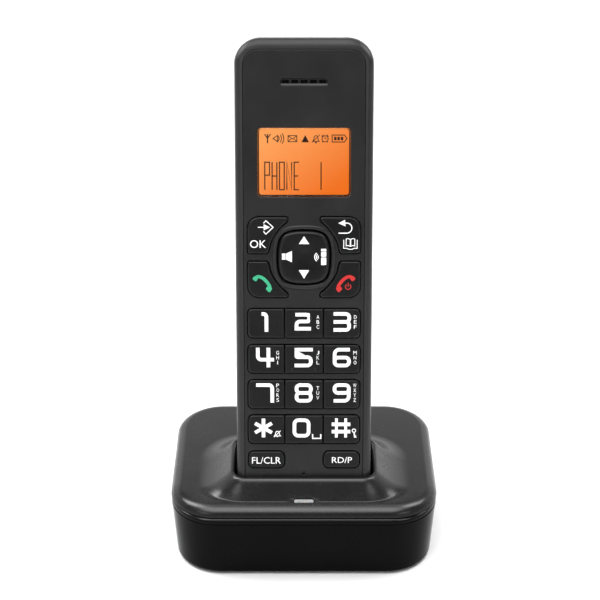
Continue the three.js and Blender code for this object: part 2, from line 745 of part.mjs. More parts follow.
function handsetScrew(side) {
  const x = side * SHELL_SCREW.x;
  const head = peg(x, SHELL_SCREW.z, 1.75, 19.7, 21.2);
  const shank = peg(x, SHELL_SCREW.z, 0.95, 6, 20, 10);
  const recess = [
    box(x - 1, x + 1, 20.5, 22, SHELL_SCREW.z - 0.25, SHELL_SCREW.z + 0.25),
    box(x - 0.25, x + 0.25, 20.5, 22, SHELL_SCREW.z - 1, SHELL_SCREW.z + 1),
  ];
  return shaped(head, [shank], recess);
}

// The plate in the handset's foot that meets a charging contact, with its tail up to the board.
function chargePlate(x) {
  const face = box(x - 2.8, x + 2.8, CONTACT.y - 2.5, CONTACT.y + 2.5, GAP, GAP + 0.6);
  const tail = box(x - 1.5, x + 1.5, CONTACT.y + 2, CONTACT.y + 2.5, GAP + 0.3, 7);
  return shaped(face, [tail], []);
}

// ---- Keys ----

function smallKeyOutline(side, shrink) {
  const near = SMALL_KEY.near + shrink;
  const far = SMALL_KEY.far - shrink;
  const left = side < 0 ? -far : near;
  const right = side < 0 ? -near : far;
  return roundedRect(
    left, right, SMALL_KEY.low + shrink, SMALL_KEY.high - shrink, evenRadii(SMALL_KEY.corner - shrink),
  );
}

// A cap that stands through its opening, with a wider rim behind the shell along top and foot.
function keyCap(outline) {
  const points = outline.map((point) => point.y);
  const low = Math.min(...points);
  const high = Math.max(...points);
  const across = outline.map((point) => point.x);
  const left = Math.min(...across);
  const right = Math.max(...across);
  const middleX = (left + right) / 2;
  const middleZ = (low + high) / 2;
  const eased = outline.map((point) => new THREE.Vector2(
    middleX + (point.x - middleX) * (1 - 0.8 / (right - left)),
    middleZ + (point.y - middleZ) * (1 - 0.8 / (high - low)),
  ));
  const cap = loft([atDepth(eased, KEY_FRONT), atDepth(outline, KEY_FRONT + 0.35), atDepth(outline, 2.6)]);
  const rim = box(
    left, right, FLANGE_FRONT, KEY_BACK, low - FLANGE - GAP, high + FLANGE + GAP,
  );
  return shaped(cap, [rim], []);
}

function rowKeyOutline({ low, high }, column) {
  const edges = [-ROW_HALF_WIDTH, -KEY_DIVIDER, KEY_DIVIDER, ROW_HALF_WIDTH];
  const left = edges[column] + (column === 0 ? GAP : GAP / 2);
  const right = edges[column + 1] - (column === 2 ? GAP : GAP / 2);
  const outer = 1.7;
  const inner = 0.2;
  const leftRadius = column === 0 ? outer : inner;
  const rightRadius = column === 2 ? outer : inner;
  return roundedRect(
    left, right, low + GAP, high - GAP, [rightRadius, rightRadius, leftRadius, leftRadius], 3,
  );
}

// A soft key keeps its whole curved outline down to the rim, so it can't leave its opening.
function softKeyCap(key) {
  const outline = softKeyOutline(key, GAP);
  const cap = slab(outline, KEY_FRONT, 2.6);
  const rimNear = 12.5;
  const left = key.side < 0 ? -19.6 : rimNear;
  const right = key.side < 0 ? -rimNear : 19.6;
  const low = key.end > 0 ? NAV.z + 0.75 : NAV.z - 15.2;
  const high = key.end > 0 ? NAV.z + 15.2 : NAV.z - 0.75;
  return shaped(cap, [box(left, right, FLANGE_FRONT, KEY_BACK, low, high)], []);
}

function navKey() {
  const dish = loft([
    atDepth(navOutline(-1.2), -1),
    atDepth(navOutline(-0.3), -0.8),
    atDepth(navOutline(0), -0.2),
    atDepth(navOutline(0), 3.2),
  ]);
  const rim = slab(navOutline(1), 2.75, 3.2);
  return shaped(dish, [rim], []);
}

// The silicone post that the navigation key rocks on.
function navPivot() {
  return turned([[0, 3.55], [1.4, 3.6], [3, 4.3], [3, 5.2], [0, 5.2]], 0, NAV.z, 16);
}

// ---- Assembly ----

addPiece(assembly, 'base_top_cover', 'cover', topCover());
addPiece(assembly, 'base_bottom_case', 'gloss', bottomCase());
FEET.forEach(({ name, x, y }) => {
  addPiece(assembly, name, 'rubber', post(x, y, 4.5, 0, FOOT_HEIGHT, 20));
});
addPiece(assembly, 'base_pcb', 'board', baseBoard());
addPiece(assembly, 'base_shield_can', 'tin', baseShieldCan());
addPiece(assembly, 'base_light_guide', 'diffuser', lightGuide());
SOCKETS.forEach((entry) => {
  addPiece(assembly, entry.name, 'dark', socket(entry));
});
addPiece(assembly, 'base_screw_1', 'tin', baseScrew(-38.5));
addPiece(assembly, 'base_screw_2', 'tin', baseScrew(38.5));
addPiece(assembly, 'page_switch', 'dark', pageSwitch());
addPiece(assembly, 'page_button', 'key', pageButton());

addPiece(handset, 'charge_contact_left', 'gold', chargeContact(-CONTACT.x));
addPiece(handset, 'charge_contact_right', 'gold', chargeContact(CONTACT.x));
addPiece(handset, 'handset_front_shell', 'shell', frontShell());
addPiece(handset, 'handset_rear_shell', 'shell', rearShell());
addPiece(handset, 'lcd_lens', 'lens', slab(roundedRect(
  -WINDOW.halfWidth, WINDOW.halfWidth, WINDOW.low, WINDOW.high, evenRadii(WINDOW.corner),
), 0.2, WALL));
addPiece(handset, 'lcd_module', 'display', box(
  -DISPLAY.halfWidth, DISPLAY.halfWidth, 2.1, 3.9, DISPLAY.low, DISPLAY.high,
));
addPiece(handset, 'lcd_backlight', 'diffuser', box(
  -DISPLAY.halfWidth, DISPLAY.halfWidth, 4.2, 5.3, DISPLAY.low, DISPLAY.high,
));
addPiece(handset, 'earpiece_mesh', 'dark', box(-10, 10, 2.1, 2.5, 146.5, 153));
addPiece(handset, 'earpiece_speaker', 'dark', earpieceSpeaker());
addPiece(handset, 'handset_pcb', 'board', handsetBoard());
addPiece(handset, 'handset_shield_can', 'tin', handsetShieldCan());
addPiece(handset, 'keypad_mat', 'silicone', keypadMat());
addPiece(handset, 'microphone', 'tin', peg(0, MICROPHONE_Z, 3, 2.1, 5.3, 20));
addPiece(handset, 'ringer_speaker', 'dark', ringerSpeaker());
addPiece(handset, 'battery_cell_1', 'cell', batteryCell(-CELL_X, true));
addPiece(handset, 'battery_cell_2', 'cell', batteryCell(CELL_X, false));
addPiece(handset, 'battery_contact_strip', 'nickel', batteryContactStrip());
addPiece(handset, 'battery_terminal_plate', 'nickel', batteryTerminalPlate());
addPiece(handset, 'battery_spring_1', 'nickel', batterySpring(-CELL_X, 30.4, false));
addPiece(handset, 'battery_spring_2', 'nickel', batterySpring(CELL_X, 77.5, true));
addPiece(handset, 'handset_charge_plate_left', 'gold', chargePlate(-CONTACT.x));
addPiece(handset, 'handset_charge_plate_right', 'gold', chargePlate(CONTACT.x));
addPiece(handset, 'handset_screw_1', 'tin', handsetScrew(-1));
addPiece(handset, 'handset_screw_2', 'tin', handsetScrew(1));
addPiece(handset, 'battery_door', 'shell', batteryDoor());
ROWS.forEach((row) => {
  row.names.forEach((name, column) => {
    addPiece(handset, name, 'key', keyCap(rowKeyOutline(row, column)));
  });
});
SOFT_KEYS.forEach((key) => {
  addPiece(handset, key.name, 'key', softKeyCap(key));
});
SMALL_KEYS.forEach(({ name, side }) => {
  addPiece(handset, name, 'key', keyCap(smallKeyOutline(side, GAP)));
});
addPiece(handset, 'nav_key', 'key', navKey());
addPiece(handset, 'nav_pivot', 'silicone', navPivot());

export default assembly;
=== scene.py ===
"""A cordless phone handset standing in its charging base, dressed for a pale studio.

Lengths are in millimetres until a mesh is made, when they become metres. Handset pieces are
drawn in the handset's own axes: X across, Y from the front face to the back, Z up its length.
"""

import json
import math

import bmesh
import bpy
from mathutils import Matrix, Vector


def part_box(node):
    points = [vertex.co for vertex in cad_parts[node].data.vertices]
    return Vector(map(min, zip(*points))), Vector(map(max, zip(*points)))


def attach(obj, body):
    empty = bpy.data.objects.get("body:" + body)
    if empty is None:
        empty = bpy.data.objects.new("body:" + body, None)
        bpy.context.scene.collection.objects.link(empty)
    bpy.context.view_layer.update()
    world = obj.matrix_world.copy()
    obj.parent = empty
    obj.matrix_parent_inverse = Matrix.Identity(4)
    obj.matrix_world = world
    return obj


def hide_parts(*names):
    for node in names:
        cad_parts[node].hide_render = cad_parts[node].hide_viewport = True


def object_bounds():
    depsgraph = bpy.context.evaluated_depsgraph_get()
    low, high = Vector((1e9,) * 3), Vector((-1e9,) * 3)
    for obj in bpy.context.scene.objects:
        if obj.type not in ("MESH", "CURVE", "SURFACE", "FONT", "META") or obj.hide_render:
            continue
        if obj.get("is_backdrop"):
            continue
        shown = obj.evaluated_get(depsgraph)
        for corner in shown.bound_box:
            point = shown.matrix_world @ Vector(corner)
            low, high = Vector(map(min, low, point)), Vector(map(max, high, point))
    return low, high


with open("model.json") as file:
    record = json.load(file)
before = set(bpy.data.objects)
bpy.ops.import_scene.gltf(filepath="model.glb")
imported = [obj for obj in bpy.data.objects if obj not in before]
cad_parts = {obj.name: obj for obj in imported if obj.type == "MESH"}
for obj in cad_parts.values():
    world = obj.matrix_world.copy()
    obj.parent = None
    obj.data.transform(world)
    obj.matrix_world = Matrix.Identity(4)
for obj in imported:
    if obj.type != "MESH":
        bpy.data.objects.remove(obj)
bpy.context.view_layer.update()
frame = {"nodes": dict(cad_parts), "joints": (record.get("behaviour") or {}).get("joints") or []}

MM = 0.001
JOINTS = {joint["name"]: joint for joint in frame["joints"]}

# ---- Sizes, in millimetres ----

# Handset, in its own axes.
LENGTH = 164.6
HALF_WIDTH = 24.0
TOP_CORNER = 9.0
BOTTOM_CORNER = 6.0
BEVEL = 2.9
TOP_BEVEL = 3.8
DOOR_RECESS = 22.4
DOOR = {"half": 18.0, "low": 25.3, "high": 111.5}
KEY_FRONT = -0.7
NAV_Z = 88.86
NAV_DEPTH = 3.4
NAV_HALF = (9.05, 9.4)
NAV_SQUARENESS = -0.19
BEAD_WIDTH = 11.0 - NAV_HALF[0]
GAP = 0.3
ROW_HALF = 20.0
DIVIDER = 6.85
ROWS = (
    (59.8, 70.8, ("key_1", "key_2", "key_3")),
    (47.0, 57.8, ("key_4", "key_5", "key_6")),
    (34.0, 45.0, ("key_7", "key_8", "key_9")),
    (21.1, 32.1, ("key_star", "key_0", "key_hash")),
)
SOFT_KEYS = (
    ("key_menu_ok", -1, 1),
    ("key_back_book", 1, 1),
    ("key_talk", -1, -1),
    ("key_end", 1, -1),
)
SMALL_KEYS = (("key_flash_clear", -1), ("key_redial_pause", 1))
SMALL_KEY = {"near": 6.7, "far": 20.0, "low": 12.05, "high": 18.7, "corner": 2.2}
WINDOW = {"half": 16.0, "low": 110.2, "high": 133.9, "corner": 1.4}
EARPIECE = {"z": 149.75, "half": 8.3, "tall": 1.25}
MICROPHONE_Z = 10.1
RINGER = {"z": 128.0, "pitch": 2.6, "half": 7}
SHELL_SCREW = (15.8, 106.6)
CELL_BAY = {"half": 12.7, "low": 29, "high": 80.6}
OUTSIDE = 26
POCKET = {"half": 24.9, "front": -0.9, "back": 23.3, "floor": -0.35, "corner": 4.0}
CONTACT = (12.0, 16.0)

# Base, in the row's axes: X across, Y from front to back, Z up from the table.
base_low, base_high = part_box("base_top_cover")
BASE_HALF = base_high.x / MM
BASE_FRONT = base_low.y / MM
BASE_BACK = base_high.y / MM
COLLAR = base_high.z / MM
BASE_CORNER = 17.2
CASE_CORNER = 17.0
SEAM = 25.9
TOP = 29.5
EDGE = 4.2
LIP = 1.3
FLANK = 14.0
FRONT_FLANK = 6.6
FLANK_HOLLOW = 0.6
FRONT_FLANK_HOLLOW = 0.88
CASE_TOP = 25.6
# The share of the front flank where its straight foot starts, and how soft its end is.
FOOT_FROM = 0.62
FOOT_SOFT = 0.015
# Heights between which the finish of the cover's and the case's edges changes.
COVER_DULL = (27.0, 27.9)
CASE_BRIGHT = (24.6, 24.75)
DULL_SPECULAR = 0.12
BRIGHT_SPECULAR = 0.9

# The handset's axes stand in the row's axes as its lift joint and its navigation pivot say.
lift = Vector(JOINTS["handset_lift"]["axis"])
LEAN = math.atan2(lift.y, lift.z)
HANDSET = Matrix.Rotation(-LEAN, 4, "X")
nav_pivot = Vector(JOINTS["nav_rock_up_down"]["pos_m"])
HANDSET.translation = nav_pivot - HANDSET.to_3x3() @ Vector((0, NAV_DEPTH, NAV_Z)) * MM
ROW = Matrix.Identity(4)


# ---- Node materials ----

class Shader:
    """A node material around one Principled shader, with short calls for common nodes."""

    def __init__(self, name, **values):
        self.material = bpy.data.materials.new(name)
        self.material.use_nodes = True
        self.nodes = self.material.node_tree.nodes
        self.links = self.material.node_tree.links
        self.shader = self.nodes["Principled BSDF"]
        for key, value in values.items():
            self.set(key, value)

    def set(self, key, value):
        socket = self.shader.inputs[key.replace("_", " ").title().replace("Ior", "IOR")]
        if hasattr(value, "is_output"):
            self.links.new(value, socket)
        elif isinstance(value, tuple) and len(value) == 3:
            socket.default_value = (*value, 1.0)
        else:
            socket.default_value = value

    def add(self, kind, inputs=(), **properties):
        node = self.nodes.new(kind)
        for key, value in properties.items():
            setattr(node, key, value)
        for key, value in dict(inputs).items():
            if hasattr(value, "is_output"):
                self.links.new(value, node.inputs[key])
            else:
                node.inputs[key].default_value = value
        return node

    def place(self):
        return self.add("ShaderNodeTexCoord").outputs["Object"]

    def noise(self, scale, detail=3.0, roughness=0.55, vector=None):
        inputs = {"Scale": scale, "Detail": detail, "Roughness": roughness}
        inputs["Vector"] = vector or self.place()
        return self.add("ShaderNodeTexNoise", inputs).outputs["Fac"]

    def voronoi(self, scale):
        inputs = {"Scale": scale, "Vector": self.place()}
        return self.add("ShaderNodeTexVoronoi", inputs).outputs["Distance"]

    def span(self, value, low, high, start=0.0, end=1.0):
        inputs = {"Value": value, "From Min": start, "From Max": end, "To Min": low, "To Max": high}
        return self.add("ShaderNodeMapRange", inputs).outputs["Result"]

    def tint(self, value, dark, light, start=0.3, end=0.7):
        ramp = self.add("ShaderNodeValToRGB", {"Fac": value})
        ramp.color_ramp.elements[0].position = start
        ramp.color_ramp.elements[1].position = end
        ramp.color_ramp.elements[0].color = (*dark, 1)
        ramp.color_ramp.elements[1].color = (*light, 1)
        return ramp.outputs["Color"]

    def bump(self, height, distance, strength=1.0, normal=None):
        inputs = {"Height": height, "Distance": distance * MM, "Strength": strength}
        if normal is not None:
            inputs["Normal"] = normal
        return self.add("ShaderNodeBump", inputs).outputs["Normal"]


def moulded(name, dark, light, rough, grain, depth, specular=0.5, dull_below=None):
    """Moulded plastic: an eroded grain, cloudy handling marks and a little colour drift.

    Between two heights it may turn duller downwards, as an edge from a rougher mould half does.
    """
    shader = Shader(name, specular_ior_level=specular)
    if dull_below:
        place = shader.add("ShaderNodeSeparateXYZ", {"Vector": shader.place()})
        start, end = (height * MM for height in dull_below)
        level = shader.span(place.outputs["Z"], DULL_SPECULAR, specular, start, end)
        shader.set("specular_ior_level", level)
    cloud = shader.noise(60, 4)
    marks = shader.noise(900, 6, 0.7)
    fine = shader.noise(grain, 2, 0.5)
    pits = shader.voronoi(grain * 0.8)
    shader.set("base_color", shader.tint(cloud, dark, light))
    spread = shader.add("ShaderNodeMath", {0: cloud, 1: marks}, operation="MULTIPLY").outputs[0]
    shader.set("roughness", shader.span(spread, rough - 0.05, rough + 0.07, 0.15, 0.4))
    first = shader.bump(fine, depth)
    shader.set("normal", shader.bump(pits, depth * 0.6, 0.5, first))
    return shader.material


def polished(name, dark, light, rough, specular=0.5, rim=None):
    """Polished plastic with faint swirls and dust, and a brighter rim between two heights."""
    shader = Shader(name, specular_ior_level=specular)
    if rim:
        place = shader.add("ShaderNodeSeparateXYZ", {"Vector": shader.place()})
        start, end = (height * MM for height in rim)
        level = shader.span(place.outputs["Z"], specular, BRIGHT_SPECULAR, start, end)
        shader.set("specular_ior_level", level)
    cloud = shader.noise(45, 4)
    hairs = shader.noise(1400, 8, 0.75)
    shader.set("base_color", shader.tint(cloud, dark, light))
    shader.set("roughness", shader.span(hairs, rough, rough + 0.1, 0.35, 0.75))
    shader.set("normal", shader.bump(shader.noise(260, 2), 0.004, 0.6))
    return shader.material


def metal(name, color, rough, stretch=(1, 1, 1)):
    shader = Shader(name, metallic=1.0)
    mapping = shader.add("ShaderNodeMapping", {"Vector": shader.place(), "Scale": stretch})
    brushed = shader.noise(1500, 4, 0.6, mapping.outputs["Vector"])
    dark = tuple(channel * 0.82 for channel in color)
    shader.set("base_color", shader.tint(brushed, dark, color))
    shader.set("roughness", shader.span(brushed, rough - 0.08, rough + 0.12, 0.3, 0.7))
    shader.set("normal", shader.bump(brushed, 0.01, 0.5))
    return shader.material


def rubber(name, dark, light, rough=0.85):
    shader = Shader(name, specular_ior_level=0.3)
    speckle = shader.noise(2500, 4, 0.7)
    shader.set("base_color", shader.tint(speckle, dark, light))
    shader.set("roughness", shader.span(speckle, rough - 0.08, rough + 0.05))
    shader.set("normal", shader.bump(speckle, 0.03, 0.8))
    return shader.material


def ink(name, color, glow=0.0):
    """Screen-printed ink, a touch uneven. A glow, where given, is painted light: the print emits a
    little and looks brighter than the lamps alone make it.
    """
    shader = Shader(name, specular_ior_level=0.25)
    worn = shader.noise(1800, 5, 0.65)
    dark = tuple(channel * 0.9 for channel in color)
    shader.set("base_color", shader.tint(worn, dark, color, 0.35, 0.55))
    shader.set("roughness", shader.span(worn, 0.45, 0.6))
    shader.set("normal", shader.bump(worn, 0.008, 0.5))
    # Painted glow: the printed ink emits light of its own colour, though no lamp lies behind it.
    if glow:
        shader.set("emission_color", color)
        shader.set("emission_strength", glow)
    return shader.material


def circuit_board(name):
    """Green solder mask with the faint raised tracks under it."""
    shader = Shader(name, roughness=0.35, specular_ior_level=0.5)
    tracks = shader.add(
        "ShaderNodeTexBrick",
        {"Vector": shader.place(), "Scale": 420.0, "Mortar Size": 0.06, "Color1": (0, 0, 0, 1),
         "Color2": (0.25, 0.25, 0.25, 1), "Mortar": (1, 1, 1, 1)},
    )
    mask = tracks.outputs["Color"]
    shader.set("base_color", shader.tint(mask, (0.01, 0.075, 0.035), (0.03, 0.17, 0.08), 0.0, 1.0))
    shader.set("normal", shader.bump(mask, 0.02, 0.6))
    return shader.material


def display_glow(name):
    """The backlit display: lighter at the top left, deeper at the foot on the right."""
    shader = Shader(name, roughness=0.4, specular_ior_level=0.2)
    place = shader.add("ShaderNodeSeparateXYZ", {"Vector": shader.place()})
    low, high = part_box("lcd_lens")
    across = shader.span(place.outputs["X"], 0.0, 1.0, low.x, high.x)
    down = shader.span(place.outputs["Z"], 1.0, 0.0, low.z, high.z)
    total = shader.add("ShaderNodeMath", {0: across, 1: down}, operation="ADD").outputs[0]
    slope = shader.span(total, 0.0, 1.0, 0.25, 1.75)
    cells = shader.noise(5200, 1)
    soft = shader.add("ShaderNodeMath", {0: cells, 1: 0.05, 2: slope}, operation="MULTIPLY_ADD")
    colour = shader.tint(soft.outputs[0], (1.0, 0.37, 0.1), (0.86, 0.155, 0.0), 0.05, 1.0)
    shader.set("base_color", (0.05, 0.02, 0.01))
    shader.set("emission_color", colour)
    shader.set("emission_strength", 1.0)
    return shader.material


def clear_window(name):
    shader = Shader(
        name, transmission_weight=1.0, ior=1.3, base_color=(1.0, 0.98, 0.96), roughness=0.02,
    )
    shader.set("normal", shader.bump(shader.noise(300, 2), 0.001, 0.3))
    return shader.material


def milky(name, color):
    shader = Shader(name, roughness=0.35, subsurface_weight=0.3, subsurface_scale=0.002)
    haze = shader.noise(700, 4)
    dark = tuple(channel * 0.85 for channel in color)
    shader.set("base_color", shader.tint(haze, dark, color))
    shader.set("normal", shader.bump(haze, 0.01, 0.4))
    return shader.material


def woven(name, color):
    shader = Shader(name, roughness=0.9, specular_ior_level=0.1)
    weave = shader.voronoi(3800)
    dark = tuple(channel * 0.25 for channel in color)
    shader.set("base_color", shader.tint(weave, color, dark, 0.1, 0.6))
    shader.set("normal", shader.bump(weave, 0.05, 1.0))
    return shader.material


MATERIALS = {
    "shell": moulded(
        "handset_plastic", (0.0135, 0.0135, 0.0138), (0.0168, 0.0168, 0.0171),
        rough=0.34, grain=5200, depth=0.007, specular=0.33,
    ),
    "cover": moulded(
        "cover_plastic", (0.011, 0.011, 0.0114), (0.0135, 0.0135, 0.0139),
        rough=0.25, grain=5200, depth=0.002, dull_below=COVER_DULL,
    ),
    "key": moulded(
        "key_plastic", (0.0045, 0.0045, 0.0047), (0.006, 0.006, 0.0062),
        rough=0.34, grain=6000, depth=0.005, specular=0.28,
    ),
    "dark": moulded(
        "dark_plastic", (0.004, 0.004, 0.004), (0.008, 0.008, 0.008),
        rough=0.6, grain=3000, depth=0.015,
    ),
    "gloss": polished(
        "case_plastic", (0.0012, 0.0012, 0.0013), (0.0018, 0.0018, 0.0019),
        rough=0.12, specular=0.042, rim=CASE_BRIGHT,
    ),
    # The white, green and red inks below carry a painted glow that makes the key signs brighter
    # than the lamps alone would.
    "ink": ink("white_ink", (0.9, 0.9, 0.9), 0.25),
    "green": ink("green_ink", (0.05, 0.42, 0.22), 0.08),
    "red": ink("red_ink", (0.56, 0.03, 0.028), 0.08),
    "segment": ink("display_segment", (0.035, 0.009, 0.003)),
    "glow": display_glow("display_backlight"),
    "window": clear_window("window_plastic"),
    "lamp": milky("lamp_plastic", (0.275, 0.275, 0.27)),
    "diffuser": milky("diffuser_plastic", (0.85, 0.85, 0.83)),
    "rubber": rubber("foot_rubber", (0.012, 0.012, 0.012), (0.022, 0.022, 0.022)),
    "silicone": rubber("mat_silicone", (0.1, 0.105, 0.11), (0.14, 0.145, 0.15), 0.6),
    "board": circuit_board("board_mask"),
    "mesh": woven("dust_mesh", (0.03, 0.03, 0.032)),
    "cell": polished("cell_sleeve", (0.03, 0.2, 0.09), (0.05, 0.28, 0.13), 0.25),
    "tin": metal("tin_plate", (0.6, 0.61, 0.63), 0.3),
    "nickel": metal("nickel_plate", (0.72, 0.7, 0.65), 0.25, (1, 1, 6)),
    "gold": metal("gold_flash", (0.83, 0.6, 0.24), 0.22, (6, 1, 1)),
}


# ---- Outlines: lists of (across, up) points, anticlockwise ----

def arc(x, y, radius, start, end, steps):
    points = []
    for step in range(steps + 1):
        angle = math.radians(start + (end - start) * step / steps)
        points.append((x + radius * math.cos(angle), y + radius * math.sin(angle)))
    return points


def circle(x, y, radius, steps=24):
    return arc(x, y, radius, 0, 360 - 360 / steps, steps - 1)


def rounded(left, right, low, high, radii, steps=8, sides=1):
    """A rectangle with rounded corners, from the low right corner. Sides may hold extra points."""
    if not isinstance(radii, (tuple, list)):
        radii = (radii,) * 4
    corners = (
        (right - radii[0], low + radii[0], -90),
        (right - radii[1], high - radii[1], 0),
        (left + radii[2], high - radii[2], 90),
        (left + radii[3], low + radii[3], 180),
    )
    arcs = [arc(x, y, r, turn, turn + 90, steps) for (x, y, turn), r in zip(corners, radii)]
    points = []
    for index, corner in enumerate(arcs):
        following = arcs[(index + 1) % 4][0]
        points += corner
        for step in range(1, sides):
            share = step / sides
            points.append(tuple(a + (b - a) * share for a, b in zip(corner[-1], following)))
    return points


def stadium(left, right, low, high):
    """A bar with round ends."""
    return rounded(left, right, low, high, (high - low) / 2 - 0.02)


def handset_outline(inset, top_inset=None, steps=14, sides=6):
    """The front view of the handset, drawn inwards: its ends have corners of their own."""
    top_inset = inset if top_inset is None else top_inset
    low = max(BOTTOM_CORNER - inset, 0.6)
    high = max(TOP_CORNER - top_inset, 0.6)
    return rounded(
        inset - HALF_WIDTH, HALF_WIDTH - inset, inset, LENGTH - top_inset,
        (low, high, high, low), steps, sides,
    )


def nav_outline(grow, steps=96):
    """The soft square of the navigation key, grown outwards."""
    wide, tall = (half + grow for half in NAV_HALF)
    points = []
    for step in range(steps):
        angle = 2 * math.pi * step / steps
        across, along = math.cos(angle), math.sin(angle)
        reach = (across ** 4 + along ** 4) ** NAV_SQUARENESS
        points.append((across * reach * wide, NAV_Z + along * reach * tall))
    return points


def spline(points, steps):
    """A smooth curve through a few points."""
    ends = [points[0]] + list(points) + [points[-1]]
    curve = []
    for i in range(1, len(ends) - 2):
        p0, p1, p2, p3 = (Vector(p) for p in ends[i - 1:i + 3])
        for step in range(steps):
            t = step / steps
            bend = 2 * p1 + (p2 - p0) * t + (2 * p0 - 5 * p1 + 4 * p2 - p3) * t * t
            curve.append(tuple(0.5 * (bend + (3 * p1 - p0 - 3 * p2 + p3) * t ** 3)))
    curve.append(tuple(points[-1]))
    return curve


def soft_outline(side, end, shrink):
    """One of the four keys round the navigation key: its inner edge bends round the bead."""
    near, far, low, high = 5.4 + shrink, 19.9 - shrink, 1.14 + shrink, 14.54 - shrink
    corner = 4.4 - shrink
    inner = spline((
        (12.9 + shrink * 0.6, low), (12.05 + shrink * 0.9, low + 1.0),
        (11.3 + shrink, 5.2 + shrink * 0.4), (10.0 + shrink * 0.75, 7.9 + shrink * 0.65),
        (8.0 + shrink * 0.6, 10.45 + shrink * 0.8), (near + 0.6, 12.15 + shrink * 1.1),
        (near, 12.95 + shrink * 0.4),
    ), 4)
    points = arc(far - corner, high - corner, corner, 90, 0, 10)
    points += arc(far - 0.9, low + 0.9, 0.9, 0, -90, 5)
    points += inner
    points += arc(near + 0.8, high - 0.8, 0.8, 180, 90, 5)
    placed = [(side * x, NAV_Z + end * y) for x, y in points]
    return placed if side * end < 0 else placed[::-1]


def window_outline(grow):
    half, corner = WINDOW["half"] + grow, WINDOW["corner"] + grow
    return rounded(-half, half, WINDOW["low"] - grow, WINDOW["high"] + grow, corner)


def small_outline(side, shrink):
    near, far = SMALL_KEY["near"] + shrink, SMALL_KEY["far"] - shrink
    low, high = SMALL_KEY["low"] + shrink, SMALL_KEY["high"] - shrink
    left, right = (near, far) if side > 0 else (-far, -near)
    return rounded(left, right, low, high, SMALL_KEY["corner"] - shrink)


def key_outline(low, high, column, shrink):
    edges = (-ROW_HALF, -DIVIDER, DIVIDER, ROW_HALF)
    left = edges[column] + (GAP if column == 0 else GAP / 2) + shrink
    right = edges[column + 1] - (GAP if column == 2 else GAP / 2) - shrink
    outer, inner = 1.7, 0.25
    left_radius = outer if column == 0 else inner
    right_radius = outer if column == 2 else inner
    radii = (right_radius, right_radius, left_radius, left_radius)
    return rounded(left, right, low + GAP + shrink, high - GAP - shrink, radii)


# ---- Meshes ----

def at_depth(outline, depth):
    return [Vector((x, depth, z)) for x, z in outline]


def at_height(outline, height):
    return [Vector((x, y, height)) for x, y in outline]


def link(name, data):
    """A new object in the scene for a mesh, curve, light or camera."""
    item = bpy.data.objects.new(name, data)
    bpy.context.scene.collection.objects.link(item)
    return item


def evaluated_mesh(item):
    """The mesh that an object shows once its modifiers or its curve are worked out."""
    bpy.context.view_layer.update()
    graph = bpy.context.evaluated_depsgraph_get()
    return bpy.data.meshes.new_from_object(item.evaluated_get(graph))


def add_object(name, mesh, body, material, matrix=HANDSET, replaces=None):
    mesh.transform(matrix)
    mesh.materials.clear()
    mesh.materials.append(MATERIALS[material])
    piece = link(name, mesh)
    piece["handset_axes"] = matrix is HANDSET
    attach(piece, body)
    if replaces:
        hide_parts(replaces)
    return piece


def mesh_from(bm, name, sharp=32):
    """Turns a bmesh in millimetres into a smooth-shaded mesh in metres with crisp hard edges."""
    bmesh.ops.remove_doubles(bm, verts=bm.verts, dist=1e-4)
    bmesh.ops.recalc_face_normals(bm, faces=bm.faces)
    limit = math.radians(sharp)
    for face in bm.faces:
        face.smooth = True
    for edge in bm.edges:
        edge.smooth = edge.is_manifold and edge.calc_face_angle(0) < limit
    bmesh.ops.scale(bm, vec=(MM, MM, MM), verts=bm.verts)
    mesh = bpy.data.meshes.new(name)
    bm.to_mesh(mesh)
    bm.free()
    return mesh


def loft(rings, first_cap=True, last_cap=True):
    """A bmesh skin through closed rings with the same number of points."""
    bm = bmesh.new()
    rows = [[bm.verts.new(point) for point in ring] for ring in rings]
    count = len(rows[0])
    for lower, upper in zip(rows, rows[1:]):
        for i in range(count):
            bm.faces.new((lower[i], lower[(i + 1) % count], upper[(i + 1) % count], upper[i]))
    if first_cap:
        bm.faces.new(rows[0])
    if last_cap:
        bm.faces.new(rows[-1])
    return bm


def prism(outline, front, back):
    """A cutter that runs from one depth to another."""
    return mesh_from(loft([at_depth(outline, front), at_depth(outline, back)]), "prism")


def pillar(outline, low, high):
    """A cutter that stands upright between two heights."""
    return mesh_from(loft([at_height(outline, low), at_height(outline, high)]), "pillar")


def box(left, right, low, high):
    return [(right, low), (right, high), (left, high), (left, low)]


def weighted(piece):
    """Lets broad flat faces keep their flat shading next to small rounded edges."""
    modifier = piece.modifiers.new("flat_faces", "WEIGHTED_NORMAL")
    modifier.keep_sharp = True
    modifier.weight = 80
    return piece


def add_loft(name, rings, body, material, caps=(True, True), sharp=32, **options):
    mesh = mesh_from(loft(rings, *caps), name, sharp)
    return weighted(add_object(name, mesh, body, material, **options))


def sheet_mesh(name, outlines, front, back, edge):
    """A flat plate with holes: the first outline is its rim, the rest are holes. It lies between
    two depths, with its edges rounded by edge."""
    curve = bpy.data.curves.new(name, "CURVE")
    curve.dimensions = "2D"
    curve.fill_mode = "BOTH"
    curve.extrude = (back - front) / 2 - edge
    curve.bevel_depth = edge
    curve.bevel_resolution = 3
    curve.offset = -edge
    for outline in outlines:
        line = curve.splines.new("POLY")
        line.points.add(len(outline) - 1)
        for point, (x, y) in zip(line.points, outline):
            point.co = (x, y, 0, 1)
        line.use_cyclic_u = True
    holder = link(name, curve)
    source = evaluated_mesh(holder)
    bpy.data.objects.remove(holder)
    bm = bmesh.new()
    bm.from_mesh(source)
    bpy.data.meshes.remove(source)
    turn = Matrix.Translation((0, (front + back) / 2, 0)) @ Matrix.Rotation(math.pi / 2, 4, "X")
    bmesh.ops.transform(bm, matrix=turn, verts=bm.verts)
    return mesh_from(bm, name)


def add_sheet(name, outlines, front, back, edge, body, material, **options):
    mesh = sheet_mesh(name, outlines, front, back, edge)
    return weighted(add_object(name, mesh, body, material, **options))


